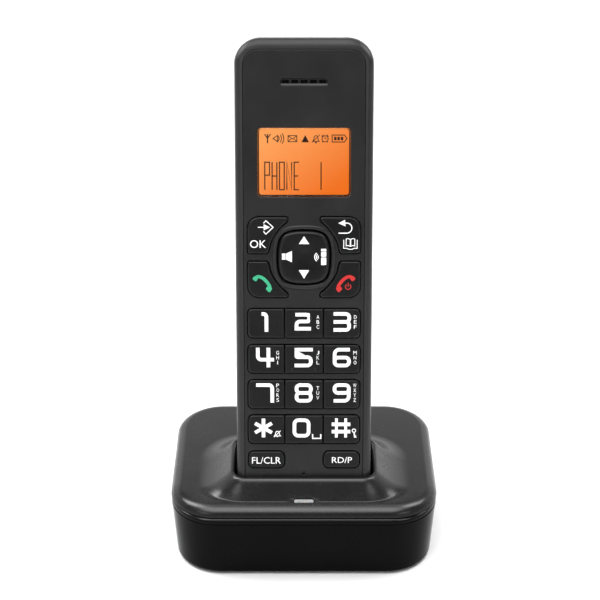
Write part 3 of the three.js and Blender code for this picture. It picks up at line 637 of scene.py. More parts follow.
def cut(piece, cutters):
    """Takes the cutter meshes out of a piece, and leaves the result as its own mesh."""
    for index, mesh in enumerate(cutters):
        if piece["handset_axes"]:
            mesh.transform(HANDSET)
        tool = link(f"cutter_{index}", mesh)
        modifier = piece.modifiers.new(tool.name, "BOOLEAN")
        modifier.operation = "DIFFERENCE"
        modifier.solver = "EXACT"
        modifier.object = tool
    result = evaluated_mesh(piece)
    for modifier in list(piece.modifiers):
        tool = modifier.object if modifier.type == "BOOLEAN" else None
        piece.modifiers.remove(modifier)
        if tool:
            bpy.data.objects.remove(tool)
    piece.data = result
    return piece


def soften(piece, width, segments=2, angle=35):
    """Rounds the edges that a cut left sharp."""
    modifier = piece.modifiers.new("edge_round", "BEVEL")
    modifier.width = width * MM
    modifier.segments = segments
    modifier.limit_method = "ANGLE"
    modifier.angle_limit = math.radians(angle)
    modifier.harden_normals = False
    for face in piece.data.polygons:
        face.use_smooth = True
    weighted(piece)


# ---- Handset shells ----

def ring(inset, depth, top_inset=None):
    return at_depth(handset_outline(inset, top_inset), depth)


def bevel_ring(share, depth):
    """A ring on the rounded band round the face: share is 1 at the face and 0 on the flank."""
    return ring(BEVEL * share, depth, TOP_BEVEL * share)


BAND = ((0.96, 0.03), (0.52, 0.5), (0.155, 1.4), (0.055, 2.2), (0.0, 3.0))
GROOVE = 0.45
front_body = [
    ring(BEVEL + GROOVE, 1.7, TOP_BEVEL + GROOVE),
    ring(BEVEL + 0.04, 0.4, TOP_BEVEL + 0.04),
    bevel_ring(1.0, 0.12),
    *[bevel_ring(share, depth) for share, depth in spline(BAND, 6)],
    ring(0.1, 5.0), ring(0.22, 8.0), ring(0.33, 10.5), ring(0.42, 10.76), ring(0.6, 10.85),
    ring(2.15, 10.85), ring(1.8, 2.8),
    ring(BEVEL + GROOVE, 1.7, TOP_BEVEL + GROOVE),
]
add_loft(
    "handset_front_band", front_body, "handset", "shell", (False, False), sharp=50,
    replaces="handset_front_shell",
)

ear_low, ear_high = EARPIECE["z"] - EARPIECE["tall"], EARPIECE["z"] + EARPIECE["tall"]
face_outlines = [
    handset_outline(BEVEL + 0.12, TOP_BEVEL + 0.12, 20, 1),
    nav_outline(BEAD_WIDTH - 0.15),
    window_outline(GAP),
    stadium(-EARPIECE["half"], EARPIECE["half"], ear_low, ear_high),
    circle(0, MICROPHONE_Z, 0.6),
    *[rounded(-ROW_HALF, ROW_HALF, low, high, 2.0) for low, high, _ in ROWS],
    *[soft_outline(side, end, 0) for _, side, end in SOFT_KEYS],
    *[small_outline(side, 0) for _, side in SMALL_KEYS],
]
add_sheet(
    "handset_face_panel", face_outlines, 0.0, 1.8, 0.2, "handset", "shell",
    replaces="handset_front_shell",
)

BEAD = (
    (BEAD_WIDTH, 0.4), (BEAD_WIDTH, 0.02), (1.86, -0.14), (1.66, -0.28), (1.36, -0.38),
    (1.08, -0.39), (0.8, -0.3), (0.6, -0.12), (0.47, 0.15), (0.4, 0.5), (0.4, 1.7), (1.2, 1.7),
    (BEAD_WIDTH, 0.4),
)
add_loft(
    "nav_bead", [at_depth(nav_outline(grow), depth) for grow, depth in BEAD], "handset", "shell",
    (False, False), sharp=60, replaces="handset_front_shell",
)

# Earpiece: a ribbed insert in its slot, with a sloped lip and the dust mesh behind.
RIB_PITCH = 3.2
insert_holes = [
    rounded(
        column * RIB_PITCH - 1.25, column * RIB_PITCH + 1.25, EARPIECE["z"] - 0.72,
        EARPIECE["z"] + 0.72, 0.6, 5,
    ) for column in range(-2, 3)
]
insert = rounded(-8.25, 8.25, EARPIECE["z"] - 1.2, EARPIECE["z"] + 1.2, 1.18)
add_sheet("earpiece_ribs", [insert, *insert_holes], 0.75, 1.75, 0.15, "handset", "shell")
lip_rings = [
    at_depth(rounded(-8.2, 8.2, ear_low - 0.1, EARPIECE["z"] + high, 0.05, 3), depth)
    for high, depth in ((-1.12, 0.08), (-0.62, 0.4), (-0.5, 0.55), (-0.5, 0.76))
]
add_loft("earpiece_lip", lip_rings, "handset", "shell", sharp=50)

# Rear shell: a rounded block less the door's recess, the cell bay and the small openings.
REAR = (
    (0.42, 11.25), (0.5, 13.0), (0.9, 18.6), (1.6, 21.4), (3.0, 23.15), (4.1, 23.58), (5.3, 23.98),
)
rear_rings = [ring(0.6, 11.15)] + [ring(inset, depth) for inset, depth in spline(REAR, 5)]
DOOR_HOLE = DOOR["half"] + GAP
rear_cuts = [
    prism(box(-HALF_WIDTH - 6, HALF_WIDTH + 6, -1, DOOR["low"] - GAP), DOOR_RECESS, OUTSIDE),
    prism(box(-DOOR_HOLE, DOOR_HOLE, 20, DOOR["high"] + GAP), DOOR_RECESS, OUTSIDE),
    prism(box(-CELL_BAY["half"], CELL_BAY["half"], CELL_BAY["low"], CELL_BAY["high"]), 10, OUTSIDE),
]
for row in range(-2, 3):
    middle = RINGER["z"] + row * RINGER["pitch"]
    half = RINGER["half"] - abs(row)
    slot = rounded(-half, half, middle - 0.6, middle + 0.6, 0.58, 6)
    rear_cuts.append(prism(slot, 20.5, OUTSIDE))
for side in (-1, 1):
    x, z = SHELL_SCREW
    rear_cuts.append(prism(circle(side * x, z, 2.1, 32), 19.4, OUTSIDE))
    window = rounded(side * CONTACT[0] - 3.1, side * CONTACT[0] + 3.1, 13.2, 18.8, 0.3, 4)
    rear_cuts.append(pillar(window, -1, 3.2))
rear = add_loft(
    "handset_rear_body", rear_rings, "handset", "shell", replaces="handset_rear_shell",
)
soften(cut(rear, rear_cuts), 0.12)

# Battery door, with finger grooves and an arrow that points the way it slides.
def door_ring(inset, depth):
    return at_depth(rounded(
        inset - DOOR["half"], DOOR["half"] - inset, DOOR["low"] + inset, DOOR["high"] - inset,
        max(1.2 - inset, 0.3),
    ), depth)


DOOR_PROFILE = ((0.1, 22.7), (0, 22.8), (0, 23.6), (0.08, 23.82), (0.26, 23.96), (0.5, 24.0))
door = add_loft(
    "battery_door_panel", [door_ring(*pair) for pair in DOOR_PROFILE], "battery_door", "shell",
    replaces="battery_door",
)
arrow = [(0, 86.5), (3.2, 90.2), (1.1, 90.2), (1.1, 92.3), (-1.1, 92.3), (-1.1, 90.2), (-3.2, 90.2)]
door_cuts = []
for grip in range(4):
    low = DOOR["high"] - 9 - grip * 2.4
    door_cuts.append(prism(rounded(-7, 7, low, low + 1.1, 0.54, 6), 23.6, OUTSIDE - 1))
door_cuts.append(prism(arrow, 23.75, OUTSIDE - 1))
soften(cut(door, door_cuts), 0.1)

# ---- Keys ----

KEY_PROFILE = (
    (0.0, 2.6), (0.0, -0.2), (0.05, -0.38), (0.16, -0.53), (0.34, -0.64), (0.6, -0.7),
)


def add_key(name, outline_at):
    rings = [at_depth(outline_at(shrink), depth) for shrink, depth in KEY_PROFILE]
    return add_loft(f"{name}_cap", rings, name, "key", sharp=50, replaces=name)


def row_key_outline(low, high, column):
    return lambda shrink: key_outline(low, high, column, shrink)


for low, high, names in ROWS:
    for column, name in enumerate(names):
        add_key(name, row_key_outline(low, high, column))
for name, side, end in SOFT_KEYS:
    add_key(name, lambda shrink, side=side, end=end: soft_outline(side, end, shrink + GAP))
for name, side in SMALL_KEYS:
    add_key(name, lambda shrink, side=side: small_outline(side, shrink + GAP))

NAV_PROFILE = (
    (0.6, 3.2), (0.6, 2.8), (0.0, 2.7), (0.0, 0.2), (-0.1, -0.25), (-0.32, -0.6), (-0.65, -0.85),
    (-1.1, -0.97), (-1.8, -1.0), (-3.0, -0.98),
)
NAV_DISH = ((5.2, -0.96), (4.2, -0.93), (3.3, -0.86), (2.4, -0.77), (1.5, -0.71), (0.7, -0.68))
nav_rings = [at_depth(nav_outline(grow), depth) for grow, depth in NAV_PROFILE]
for reach, depth in NAV_DISH:
    share = reach / NAV_HALF[0]
    flat = [(x * share, NAV_Z + (z - NAV_Z) * share) for x, z in nav_outline(0)]
    nav_rings.append(at_depth(flat, depth))
add_loft("nav_key_cap", nav_rings, "nav_key", "key", sharp=60, replaces="nav_key")


# ---- Printed marks ----

def bend(path, radius, closed=False, steps=7):
    """Rounds the corners of a path, or those with a radius of their own."""
    count = len(path)
    radii = radius if isinstance(radius, (list, tuple)) else [radius] * count
    rounded_path = []
    for i, here in enumerate(path):
        if not closed and i in (0, count - 1) or radii[i] == 0:
            rounded_path.append(tuple(here))
            continue
        corner = Vector(here)
        before = (Vector(path[i - 1]) - corner).normalized()
        after = (Vector(path[(i + 1) % count]) - corner).normalized()
        turn = before.angle(after)
        reach = radii[i] / math.tan(turn / 2)
        middle = corner + (before + after).normalized() * radii[i] / math.sin(turn / 2)
        start, end = corner + before * reach - middle, corner + after * reach - middle
        sweep = start.angle(end)
        for step in range(steps + 1):
            share = step / steps
            low = math.sin((1 - share) * sweep) / math.sin(sweep)
            high = math.sin(share * sweep) / math.sin(sweep)
            rounded_path.append(tuple(middle + start * low + end * high))
    return rounded_path


class Print:
    """Marks printed on a face, as thin raised shapes gathered into one mesh.

    Each shape lies a step above the last, so that crossing strokes never share a plane.
    """

    LIFT = 0.012
    STEP = 0.0015
    SUNK = 0.1
    LETTER = 0.03

    def __init__(self, x=0, z=0, front=KEY_FRONT, facing=-1):
        self.bm = bmesh.new()
        self.origin = (x, z)
        self.front = front + facing * self.LIFT
        self.facing = facing
        self.layer = 0

    def _place(self, points, depth):
        x0, z0 = self.origin
        return [self.bm.verts.new((x0 + x, depth, z0 + z)) for x, z in points]

    def _depths(self):
        self.layer += 1
        lift = self.facing * self.layer * self.STEP
        return self.front + lift, self.front - lift - self.facing * self.SUNK

    def fill(self, outline):
        front, back = self._depths()
        top, foot = self._place(outline, front), self._place(outline, back)
        count = len(outline)
        self.bm.faces.new(top)
        self.bm.faces.new(foot[::-1])
        for i in range(count):
            self.bm.faces.new((top[i], foot[i], foot[(i + 1) % count], top[(i + 1) % count]))

    def stroke(self, path, width, closed=False):
        """A band of even width along a path."""
        points = [Vector(point) for point in path]
        count = len(points)
        left, right = [], []
        for i, here in enumerate(points):
            before = points[i - 1] if closed or i else here
            after = points[(i + 1) % count] if closed or i + 1 < count else here
            first = (here - before).normalized() if before != here else (after - here).normalized()
            second = (after - here).normalized() if after != here else first
            tangent = (first + second).normalized()
            side = Vector((-tangent.y, tangent.x)) * width / 2 / max(0.35, first.dot(tangent))
            left.append(tuple(here + side))
            right.append(tuple(here - side))
        if not closed:
            self.fill(left + right[::-1])
            return
        front, back = self._depths()
        loops = [self._place(loop, depth) for loop in (left, right) for depth in (front, back)]
        left_top, left_foot, right_top, right_foot = loops
        for i in range(count):
            j = (i + 1) % count
            self.bm.faces.new((left_top[i], left_top[j], right_top[j], right_top[i]))
            self.bm.faces.new((left_foot[i], right_foot[i], right_foot[j], left_foot[j]))
            self.bm.faces.new((left_top[i], left_foot[i], left_foot[j], left_top[j]))
            self.bm.faces.new((right_top[i], right_top[j], right_foot[j], right_foot[i]))

    def disc(self, x, z, radius, steps=20):
        self.fill(circle(x, z, radius, steps))

    def letters(self, text, x, z, width, height):
        """Plain capitals fitted into a box around a middle point."""
        curve = bpy.data.curves.new("letters", "FONT")
        curve.body = text
        curve.extrude = self.LETTER
        curve.resolution_u = 3
        holder = link("letters", curve)
        mesh = evaluated_mesh(holder)
        bpy.data.objects.remove(holder)
        xs = [vertex.co.x for vertex in mesh.vertices]
        ys = [vertex.co.y for vertex in mesh.vertices]
        wide = width / (max(xs) - min(xs))
        tall = height / (max(ys) - min(ys))
        front, _ = self._depths()
        middle = ((max(xs) + min(xs)) / 2, (max(ys) + min(ys)) / 2)
        for vertex in mesh.vertices:
            across = self.origin[0] + x + (vertex.co.x - middle[0]) * wide
            up = self.origin[1] + z + (vertex.co.y - middle[1]) * tall
            vertex.co = Vector((across, front + self.LETTER - vertex.co.z, up))
        self.bm.from_mesh(mesh)
        bpy.data.meshes.remove(mesh)

    def finish(self, name, body, material="ink", matrix=HANDSET):
        bm = self.bm
        bmesh.ops.remove_doubles(bm, verts=bm.verts, dist=1e-5)
        bmesh.ops.recalc_face_normals(bm, faces=bm.faces)
        bmesh.ops.scale(bm, vec=(MM, MM, MM), verts=bm.verts)
        mesh = bpy.data.meshes.new(name)
        bm.to_mesh(mesh)
        bm.free()
        add_object(name, mesh, body, material, matrix)


# Each figure is drawn on the middle line of its strokes.
STROKE = 1.27
W, H, END = 2.525, 2.875, 0.67
TURN = 1.25


def box_path(left, right, low, high):
    return [(left, low), (right, low), (right, high), (left, high)]


FIGURES = {
    "1": [([(-1.15, H), (0.55, H), (0.55, -H - END)], [0, 1.1, 0], False)],
    "2": [([(-W - 0.4, 2.6), (2.0, 2.6), (2.0, 0.15), (-W, 0.15), (-W, -2.45), (2.55, -2.45)],
           [0, TURN, TURN, TURN, 0, 0], False)],
    "3": [([(-W - 0.45, H), (W, H), (W, 0.0), (-W - 0.45, 0.0)], [0, TURN, TURN, 0], False),
          ([(W - 1.6, 0.0), (W, 0.0), (W, -H), (-W - 0.45, -H)], [0, TURN, TURN, 0], False)],
    "4": [([(-W, H + END), (-W, -0.75), (W + END, -0.75)], [0, TURN, 0], False),
          ([(1.2, H + END), (1.2, -H - END)], 0, False)],
    "5": [([(W + END, H), (-W, H), (-W, 0.15), (W, 0.15), (W, -H), (-W - END, -H)],
           [0, 0, 0.5, TURN, TURN, 0], False)],
    "6": [(box_path(-W, W, -H, 0.0), TURN, True),
          ([(W + 0.3, H), (-W, H), (-W, -1.4)], [0, 1.6, 0], False)],
    "7": [([(-W - END, H), (W, H), (W, -H - END)], [0, TURN, 0], False)],
    "8": [(box_path(-W, W, -H, 0.0), TURN, True), (box_path(-W, W, 0.0, H), TURN, True)],
    "9": [(box_path(-W, W, 0.0, H), TURN, True),
          ([(-W - 0.3, -H), (W, -H), (W, 1.4)], [0, 1.6, 0], False)],
    "0": [(box_path(-W, W, -H, H), 1.45, True)],
}


def draw_figure(mark, figure):
    for path, radius, closed in FIGURES[figure]:
        mark.stroke(bend(path, radius, closed), STROKE, closed)


def draw_letters(mark, letters, x):
    """The key's letters, one below the other."""
    pitch, height = 1.78, 1.3
    top = 1.75 if len(letters) < 4 else 2.75
    for index, letter in enumerate(letters):
        width = 0.24 if letter == "I" else 1.2 if letter in "MW" else 0.95
        mark.letters(letter, x, top - index * pitch, width, height)


KEY_LETTERS = {
    "2": "ABC", "3": "DEF", "4": "GHI", "5": "JKL",
    "6": "MNO", "7": "PQRS", "8": "TUV", "9": "WXYZ",
}
COLUMNS = (-13.75, -0.1, 13.35)
LETTER_COLUMNS = (-9.3, 4.9, 18.0)
FIGURE_RISE = 0.65
for low, high, names in ROWS[:3]:
    for column, name in enumerate(names):
        figure = name[-1]
        mark = Print(COLUMNS[column], (low + high) / 2 + FIGURE_RISE)
        draw_figure(mark, figure)
        if figure in KEY_LETTERS:
            draw_letters(mark, KEY_LETTERS[figure], LETTER_COLUMNS[column] - COLUMNS[column])
        mark.finish(f"{name}_legend", name)

low, high, _ = ROWS[3]
zero_row = (low + high) / 2 + FIGURE_RISE
star = Print(-14.4, zero_row)
for turn in (90, 30, 150):
    across, up = math.cos(math.radians(turn)) * 3.45, math.sin(math.radians(turn)) * 3.45
    star.stroke([(-across, -up), (across, up)], 1.25)
bell = [(4.95 + x, -2.2 + z) for x, z in (
    (-1.1, -0.75), (1.1, -0.75), (0.75, -0.3), (0.62, 0.5), (0.3, 0.95), (-0.3, 0.95), (-0.62, 0.5),
    (-0.75, -0.3),
)]
star.stroke(bell, 0.26, True)
star.stroke([(4.7, -3.2), (5.2, -3.2)], 0.3)
star.stroke([(3.75, -3.4), (6.1, -1.0)], 0.26)
star.finish("key_star_legend", "key_star")

zero = Print(-0.86, zero_row)
draw_figure(zero, "0")
zero.stroke([(3.95, -2.3), (3.95, -3.85), (6.85, -3.85), (6.85, -2.3)], 0.42)
zero.finish("key_0_legend", "key_0")

hash_mark = Print(13.2, zero_row)
for offset in (-1.65, 1.65):
    hash_mark.stroke([(offset, -3.55), (offset, 3.55)], 0.95)
for offset in (-1.35, 1.35):
    hash_mark.stroke([(-3.3, offset), (3.3, offset)], 1.3)
hash_mark.stroke(circle(4.6, -1.0, 0.62), 0.3, True)
hash_mark.stroke([(4.65, -1.5), (4.85, -3.55)], 0.42)
hash_mark.stroke([(4.75, -2.9), (5.35, -3.0)], 0.34)
hash_mark.stroke([(4.8, -3.35), (5.5, -3.45)], 0.34)
hash_mark.finish("key_hash_legend", "key_hash")

# Two small raised dots on the middle key, to find it by touch.
for number, offset in enumerate((-4.2, 4.0), start=1):
    dot = [
        at_depth(circle(offset, 48.6, radius), depth)
        for radius, depth in ((0.62, -0.6), (0.55, -0.8), (0.38, -0.92), (0.15, -0.98))
    ]
    add_loft(f"key_5_dot_{number}", dot, "key_5", "key")

menu = Print()
menu.stroke([(-16.0, 99.6), (-13.9, 99.6)], 0.3)
menu.fill([(-14.0, 98.55), (-11.8, 99.6), (-14.0, 100.65)])
arrowhead = [(-14.1, 101.0), (-13.25, 101.95), (-10.75, 99.6), (-13.25, 97.2), (-14.1, 98.15)]
menu.stroke(arrowhead, 0.32)
menu.letters("OK", -16.0, 93.7, 5.6, 2.75)
menu.finish("key_menu_ok_legend", "key_menu_ok")

back = Print()
back.stroke(bend([(12.0, 97.55), (16.6, 97.55), (16.6, 101.1), (13.9, 101.1)], 1.75), 0.36)
back.fill([(11.9, 101.05), (14.4, 99.95), (14.2, 102.2)])
for mirror in (-1, 1):
    page = [(16.15 + mirror * x, z) for x, z in (
        (0.1, 92.9), (0.85, 93.2), (1.5, 93.05), (1.5, 95.5), (0.85, 95.65), (0.1, 95.35),
    )]
    back.stroke(page, 0.26, True)
    back.stroke([(16.15 + mirror * x, z) for x, z in (
        (2.35, 95.2), (2.35, 92.2), (1.2, 92.2), (0.6, 91.85), (0.0, 91.85),
    )], 0.26)
back.finish("key_back_book_legend", "key_back_book")

# The receiver sign, off its hook: an arched bar with a cup at each end. The end key's sign is its
# mirror image, with a small power sign beside it.
RECEIVER = ((-17.05, 81.45), (-16.35, 82.05), (-15.5, 82.1), (-14.4, 81.6), (-13.2, 80.5),
            (-12.2, 79.1), (-11.95, 78.3), (-12.15, 77.55))
CUPS = (
    ((-18.15, 81.35), (-17.15, 82.5), (-15.95, 81.45), (-16.85, 80.35)),
    ((-12.75, 78.75), (-10.95, 78.1), (-12.05, 76.35), (-13.45, 77.75)),
)


def receiver(name, body, material, mirror):
    mark = Print()
    path = spline([(mirror * x, z) for x, z in RECEIVER], 5)
    mark.stroke(path, 1.15)
    for cup in CUPS:
        mark.fill(bend([(mirror * x, z) for x, z in cup], 0.45, True, 4))
    if mirror < 0:
        x, z, radius = 15.45, 78.55, 0.95
        turns = [math.radians(degrees) for degrees in range(-235, 56, 10)]
        mark.stroke([(x + radius * math.cos(t), z + radius * math.sin(t)) for t in turns], 0.3)
        mark.stroke([(x, 78.6), (x, 80.0)], 0.3)
    mark.finish(name, body, material)


receiver("key_talk_legend", "key_talk", "green", 1)
receiver("key_end_legend", "key_end", "red", -1)

flash = Print()
flash.letters("FL/CLR", -13.4, 15.2, 10.3, 2.45)
flash.finish("key_flash_clear_legend", "key_flash_clear")
redial = Print()
redial.letters("RD/P", 13.6, 15.35, 7.2, 2.2)
redial.finish("key_redial_pause_legend", "key_redial_pause")

# Four signs on the navigation key.
nav = Print(front=-1.0)
nav.fill([(-1.8, 93.75), (1.8, 93.75), (0, 96.5)])
nav.fill([(1.8, 84.5), (-1.8, 84.5), (0, 81.5)])
nav.fill([(-7.7, 88.25), (-6.45, 88.25), (-6.45, 90.4), (-7.7, 90.4)])
nav.fill([(-6.2, 88.25), (-4.2, 87.35), (-4.2, 91.25), (-6.2, 90.4)])
nav.fill(rounded(5.95, 7.75, 86.35, 89.0, 0.2, 3))
nav.fill(rounded(5.95, 7.75, 89.3, 90.9, 0.2, 3))
nav.fill(rounded(5.95, 7.75, 91.15, 92.05, 0.2, 3))
for radius in (0.55, 1.15, 1.75):
    nav.stroke(arc(5.45, 89.15, radius, 125, 235, 10), 0.32)
nav.finish("nav_key_legend", "nav_key")

# ---- Display ----

display_outline = rounded(-18.5, 18.5, 109.2, 136.0, 0.6)
add_sheet(
    "display_panel", [display_outline], 2.1, 3.9, 0.05, "handset", "glow", replaces="lcd_module",
)
# A thin dark-brown frame just inside the window's edge, in front of the glowing panel: painted
# shade that stands for the shadow of the window's recessed rim on the display.
SHADE_RIM = 0.45
shade_frame_outlines = [rounded(-17.4, 17.4, 109.4, 135.2, 1.2), window_outline(-SHADE_RIM)]
add_sheet("display_painted_shade", shade_frame_outlines, 1.95, 2.08, 0.02, "handset", "segment")
add_sheet(
    "display_window", [window_outline(0)], 0.2, 1.8, 0.25, "handset", "window",
    replaces="lcd_lens",
)

glass = Print(front=2.09)
# Signal mast.
glass.stroke([(-12.6, 128.6), (-12.6, 131.8)], 0.42)
glass.stroke([(-13.6, 131.7), (-12.6, 130.3), (-11.6, 131.7)], 0.38)
# Ringer horn and its waves.
glass.stroke([(-10.7, 130.2), (-9.1, 131.3), (-9.1, 129.1)], 0.3, True)
for radius in (1.3, 2.1, 2.9):
    glass.stroke(arc(-9.9, 130.2, radius, -38, 38, 8), 0.3)
# Envelope.
glass.stroke([(-5.5, 129.1), (-2.5, 129.1), (-2.5, 131.2), (-5.5, 131.2)], 0.28, True)
glass.stroke([(-5.4, 131.1), (-4.0, 130.0), (-2.6, 131.1)], 0.26)
glass.stroke([(-5.4, 129.2), (-4.5, 130.1)], 0.24)
glass.stroke([(-2.6, 129.2), (-3.5, 130.1)], 0.24)
glass.fill([(-0.9, 128.9), (1.7, 128.9), (0.4, 131.4)])
# Muted bell.
bell = [
    (3.0, 129.2), (5.2, 129.2), (4.8, 129.9), (4.7, 130.8), (4.1, 131.3), (3.5, 130.8),
    (3.4, 129.9),
]
glass.stroke(bell, 0.26, True)
glass.stroke([(2.7, 128.8), (5.4, 131.5)], 0.24)
glass.disc(4.1, 128.8, 0.3)
# Alarm clock.
glass.stroke(circle(7.25, 130.1, 1.05), 0.28, True)
glass.stroke([(7.25, 130.75), (7.25, 130.1), (7.75, 130.1)], 0.24)
glass.stroke([(6.1, 130.9), (6.7, 131.5)], 0.34)
glass.stroke([(8.4, 130.9), (7.8, 131.5)], 0.34)
glass.stroke([(6.5, 129.2), (6.25, 128.85)], 0.26)
glass.stroke([(8.0, 129.2), (8.25, 128.85)], 0.26)
# Full cell.
glass.stroke([(9.7, 129.0), (13.9, 129.0), (14.8, 130.2), (13.9, 131.4), (9.7, 131.4)], 0.32, True)
for bar in range(3):
    glass.fill(rounded(10.35 + bar * 1.15, 11.2 + bar * 1.15, 129.6, 130.8, 0.1, 2))

# Tall narrow characters made of thin segments, in a unit box.
SEGMENT = 0.4
CHARACTERS = {
    "P": [[(0, 0), (0, 1), (1, 1), (1, 0.53), (0, 0.53)]],
    "H": [[(0, 0), (0, 1)], [(1, 0), (1, 1)], [(0, 0.5), (1, 0.5)]],
    "O": [[(0, 0), (1, 0), (1, 1), (0, 1), (0, -0.01)]],
    "N": [[(0, 0), (0, 1), (1, 0), (1, 1)]],
    "E": [[(1, 1), (0, 1), (0, 0), (1, 0)], [(0, 0.5), (0.85, 0.5)]],
    "1": [[(1, 0), (1, 1)]],
    " ": [],
}
for index, character in enumerate("PHONE  1"):
    left = -13.6 + index * 2.55
    for path in CHARACTERS[character]:
        glass.stroke([(left + x * 1.65, 112.4 + z * 9.6) for x, z in path], SEGMENT)
glass.finish("display_segments", "handset", "segment")


# ---- Base ----

BASE_STEPS, BASE_SIDES = 20, 12
COLLAR_STEPS = 44
LAMP_SLOT = {"half": 3.72, "front": -33.72, "back": -32.3, "low": 24.7, "high": 34}
CHARGE_LAMP = {"half": 3.55, "tall": 0.72, "place": (0, -33.14, 29.78), "slope": (0.48, 0.6)}
foot = HANDSET.translation / MM


def base_outline(inset, corner=None):
    return rounded(
        inset - BASE_HALF, BASE_HALF - inset, BASE_FRONT + inset, BASE_BACK - inset,
        BASE_CORNER - inset if corner is None else corner, BASE_STEPS, BASE_SIDES,
    )


def pocket_outline(grow):
    half, corner = POCKET["half"] + grow, POCKET["corner"] + grow
    front, back = POCKET["front"] - grow, POCKET["back"] + grow
    return rounded(-half, half, front, back, corner, BASE_STEPS, BASE_SIDES)


def from_handset(point):
    return HANDSET @ (Vector(point) * MM) / MM


def level_ring(outline, height):
    """A ring of the pocket's leaning walls, cut off level at a height."""
    rise, run = math.sin(LEAN), math.cos(LEAN)
    return [from_handset((x, y, (height - foot.z + y * rise) / run)) for x, y in outline]


def square_ring(outline, along):
    return [from_handset((x, y, along)) for x, y in outline]


def flank_rise(share, hollow):
    return (1 + math.cos(math.pi * share ** hollow)) / 2


def crisp_rise(share, hollow):
    """The same flank, but it runs straight from its middle to a crisp foot."""
    if share <= FOOT_FROM:
        return flank_rise(share, hollow)
    step = 0.001
    start = flank_rise(FOOT_FROM, hollow)
    slope = (start - flank_rise(FOOT_FROM - step, hollow)) / step
    straight = start + slope * (share - FOOT_FROM)
    return (straight + math.hypot(straight, FOOT_SOFT)) / 2


def collar_ring(share, drop=0.0):
    """Round the collar: the flank is wide at the sides and back, and narrow in front."""
    start, beyond = level_ring(pocket_outline(0), COLLAR), level_ring(pocket_outline(1), COLLAR)
    points = []
    for here, further in zip(start, beyond):
        away = further - here
        front = max(0.0, -away.y) ** 3
        hollow = FLANK_HOLLOW + (FRONT_FLANK_HOLLOW - FLANK_HOLLOW) * front
        soft, crisp = flank_rise(share, hollow), crisp_rise(share, hollow)
        rise = soft + (crisp - soft) * front * (1 - share ** 12)
        reach = FRONT_FLANK if away.y < 0 else FLANK
        across = LIP + (FLANK - LIP) * share
        along = LIP + (reach - LIP) * share
        height = TOP + (COLLAR - TOP) * rise - drop
        points.append(Vector((here.x + away.x * across, here.y + away.y * along, height)))
    return points


def edge_ring(degrees):
    """The rounded edge of the cover, from its flat top at 90 degrees to the seam at 0."""
    turn = math.radians(degrees)
    inset = EDGE * (1 - math.cos(turn))
    return at_height(base_outline(inset), SEAM + (TOP - SEAM) * math.sin(turn))


top_rings = [
    square_ring(pocket_outline(-0.8), POCKET["floor"]),
    square_ring(pocket_outline(-0.25), POCKET["floor"] + 0.2),
    square_ring(pocket_outline(0), POCKET["floor"] + 0.8),
    level_ring(pocket_outline(0), COLLAR - 1.1),
    level_ring(pocket_outline(0.08), COLLAR - 0.6),
    level_ring(pocket_outline(0.32), COLLAR - 0.2),
    level_ring(pocket_outline(0.7), COLLAR - 0.02),
    *[collar_ring(step / COLLAR_STEPS) for step in range(COLLAR_STEPS + 1)],
    *[edge_ring(degrees) for degrees in (84, 76, 66, 56, 46, 36, 27, 18, 9, 0)],
    at_height(base_outline(0.12), SEAM),
    at_height(base_outline(2), SEAM),
    at_height(base_outline(2), SEAM + 1.1),
    at_height(base_outline(3.6), SEAM + 1.9),
    collar_ring(0.95, 2.0), collar_ring(0.6, 2.2), collar_ring(0.3, 2.6),
    level_ring(pocket_outline(1.5), COLLAR - 4.5),
    square_ring(pocket_outline(1.5), POCKET["floor"] - 1.6),
]
cover = add_loft(
    "base_cover", top_rings, "base", "cover", matrix=ROW, sharp=50, replaces="base_top_cover",
)
contact_slots = []
for side in (-1, 1):
    slot = rounded(side * CONTACT[0] - 2.5, side * CONTACT[0] + 2.5, 13.5, 18.5, 0.4, 4)
    rings = [square_ring(slot, POCKET["floor"] - 3), square_ring(slot, POCKET["floor"] + 1)]
    contact_slots.append(mesh_from(loft(rings), "contact_slot"))
lamp_hole = stadium(-LAMP_SLOT["half"], LAMP_SLOT["half"], LAMP_SLOT["front"], LAMP_SLOT["back"])
cut(cover, [*contact_slots, pillar(lamp_hole, LAMP_SLOT["low"], LAMP_SLOT["high"])])
weighted(cover)

# Charging lamp: a milky bar that lies in the front slope of the collar.
LAMP_PROFILE = ((0, -1.0), (0, -0.1), (0.04, 0.02), (0.14, 0.1), (0.28, 0.14), (0.45, 0.15))


def lamp_ring(inset, height):
    half, tall = CHARGE_LAMP["half"] - inset, CHARGE_LAMP["tall"] - inset
    return at_height(stadium(-half, half, -tall, tall), height)


lamp_turn = Matrix.Rotation(math.atan2(*CHARGE_LAMP["slope"]), 4, "X")
lamp_place = Matrix.Translation(Vector(CHARGE_LAMP["place"]) * MM) @ lamp_turn
add_loft(
    "charge_lamp", [lamp_ring(*pair) for pair in LAMP_PROFILE], "base", "lamp", matrix=lamp_place,
    replaces="base_light_guide",
)

# Lower case: one rounded tub with its rim stepped in under the seam.
CASE = (
    (2.1, 1.2), (1.8, 1.26), (1.62, 1.42), (1.52, 1.75), (1.47, 2.4), (1.4, 3.4), (1.3, 5.0),
    (1.05, 9.0), (0.6, 16.0), (0.2, 22.2), (0.12, 22.55), (0.14, 22.75), (0.24, 22.87),
    (0.27, 23.0), (0.2, 23.3), (0.1, 23.8), (0.08, 24.4), (0.12, 24.7), (0.22, 24.92),
    (0.38, 25.08), (0.6, 25.2), (1.0, 25.3), (1.2, CASE_TOP), (2.6, CASE_TOP),
    (2.6, CASE_TOP - 2), (4.2, 3.2),
)
case_rings = [at_height(base_outline(inset, CASE_CORNER), z) for inset, z in CASE]
case = add_loft(
    "base_case", case_rings, "base", "gloss", matrix=ROW, sharp=50, replaces="base_bottom_case",
)
MIDDLE = sum(corner.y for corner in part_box("base_screw_1")) / 2 / MM
SCREWS = (-38.5, 38.5)
FEET = [(x, MIDDLE + y) for y in (-22.5, 22.5) for x in (-33, 33)]
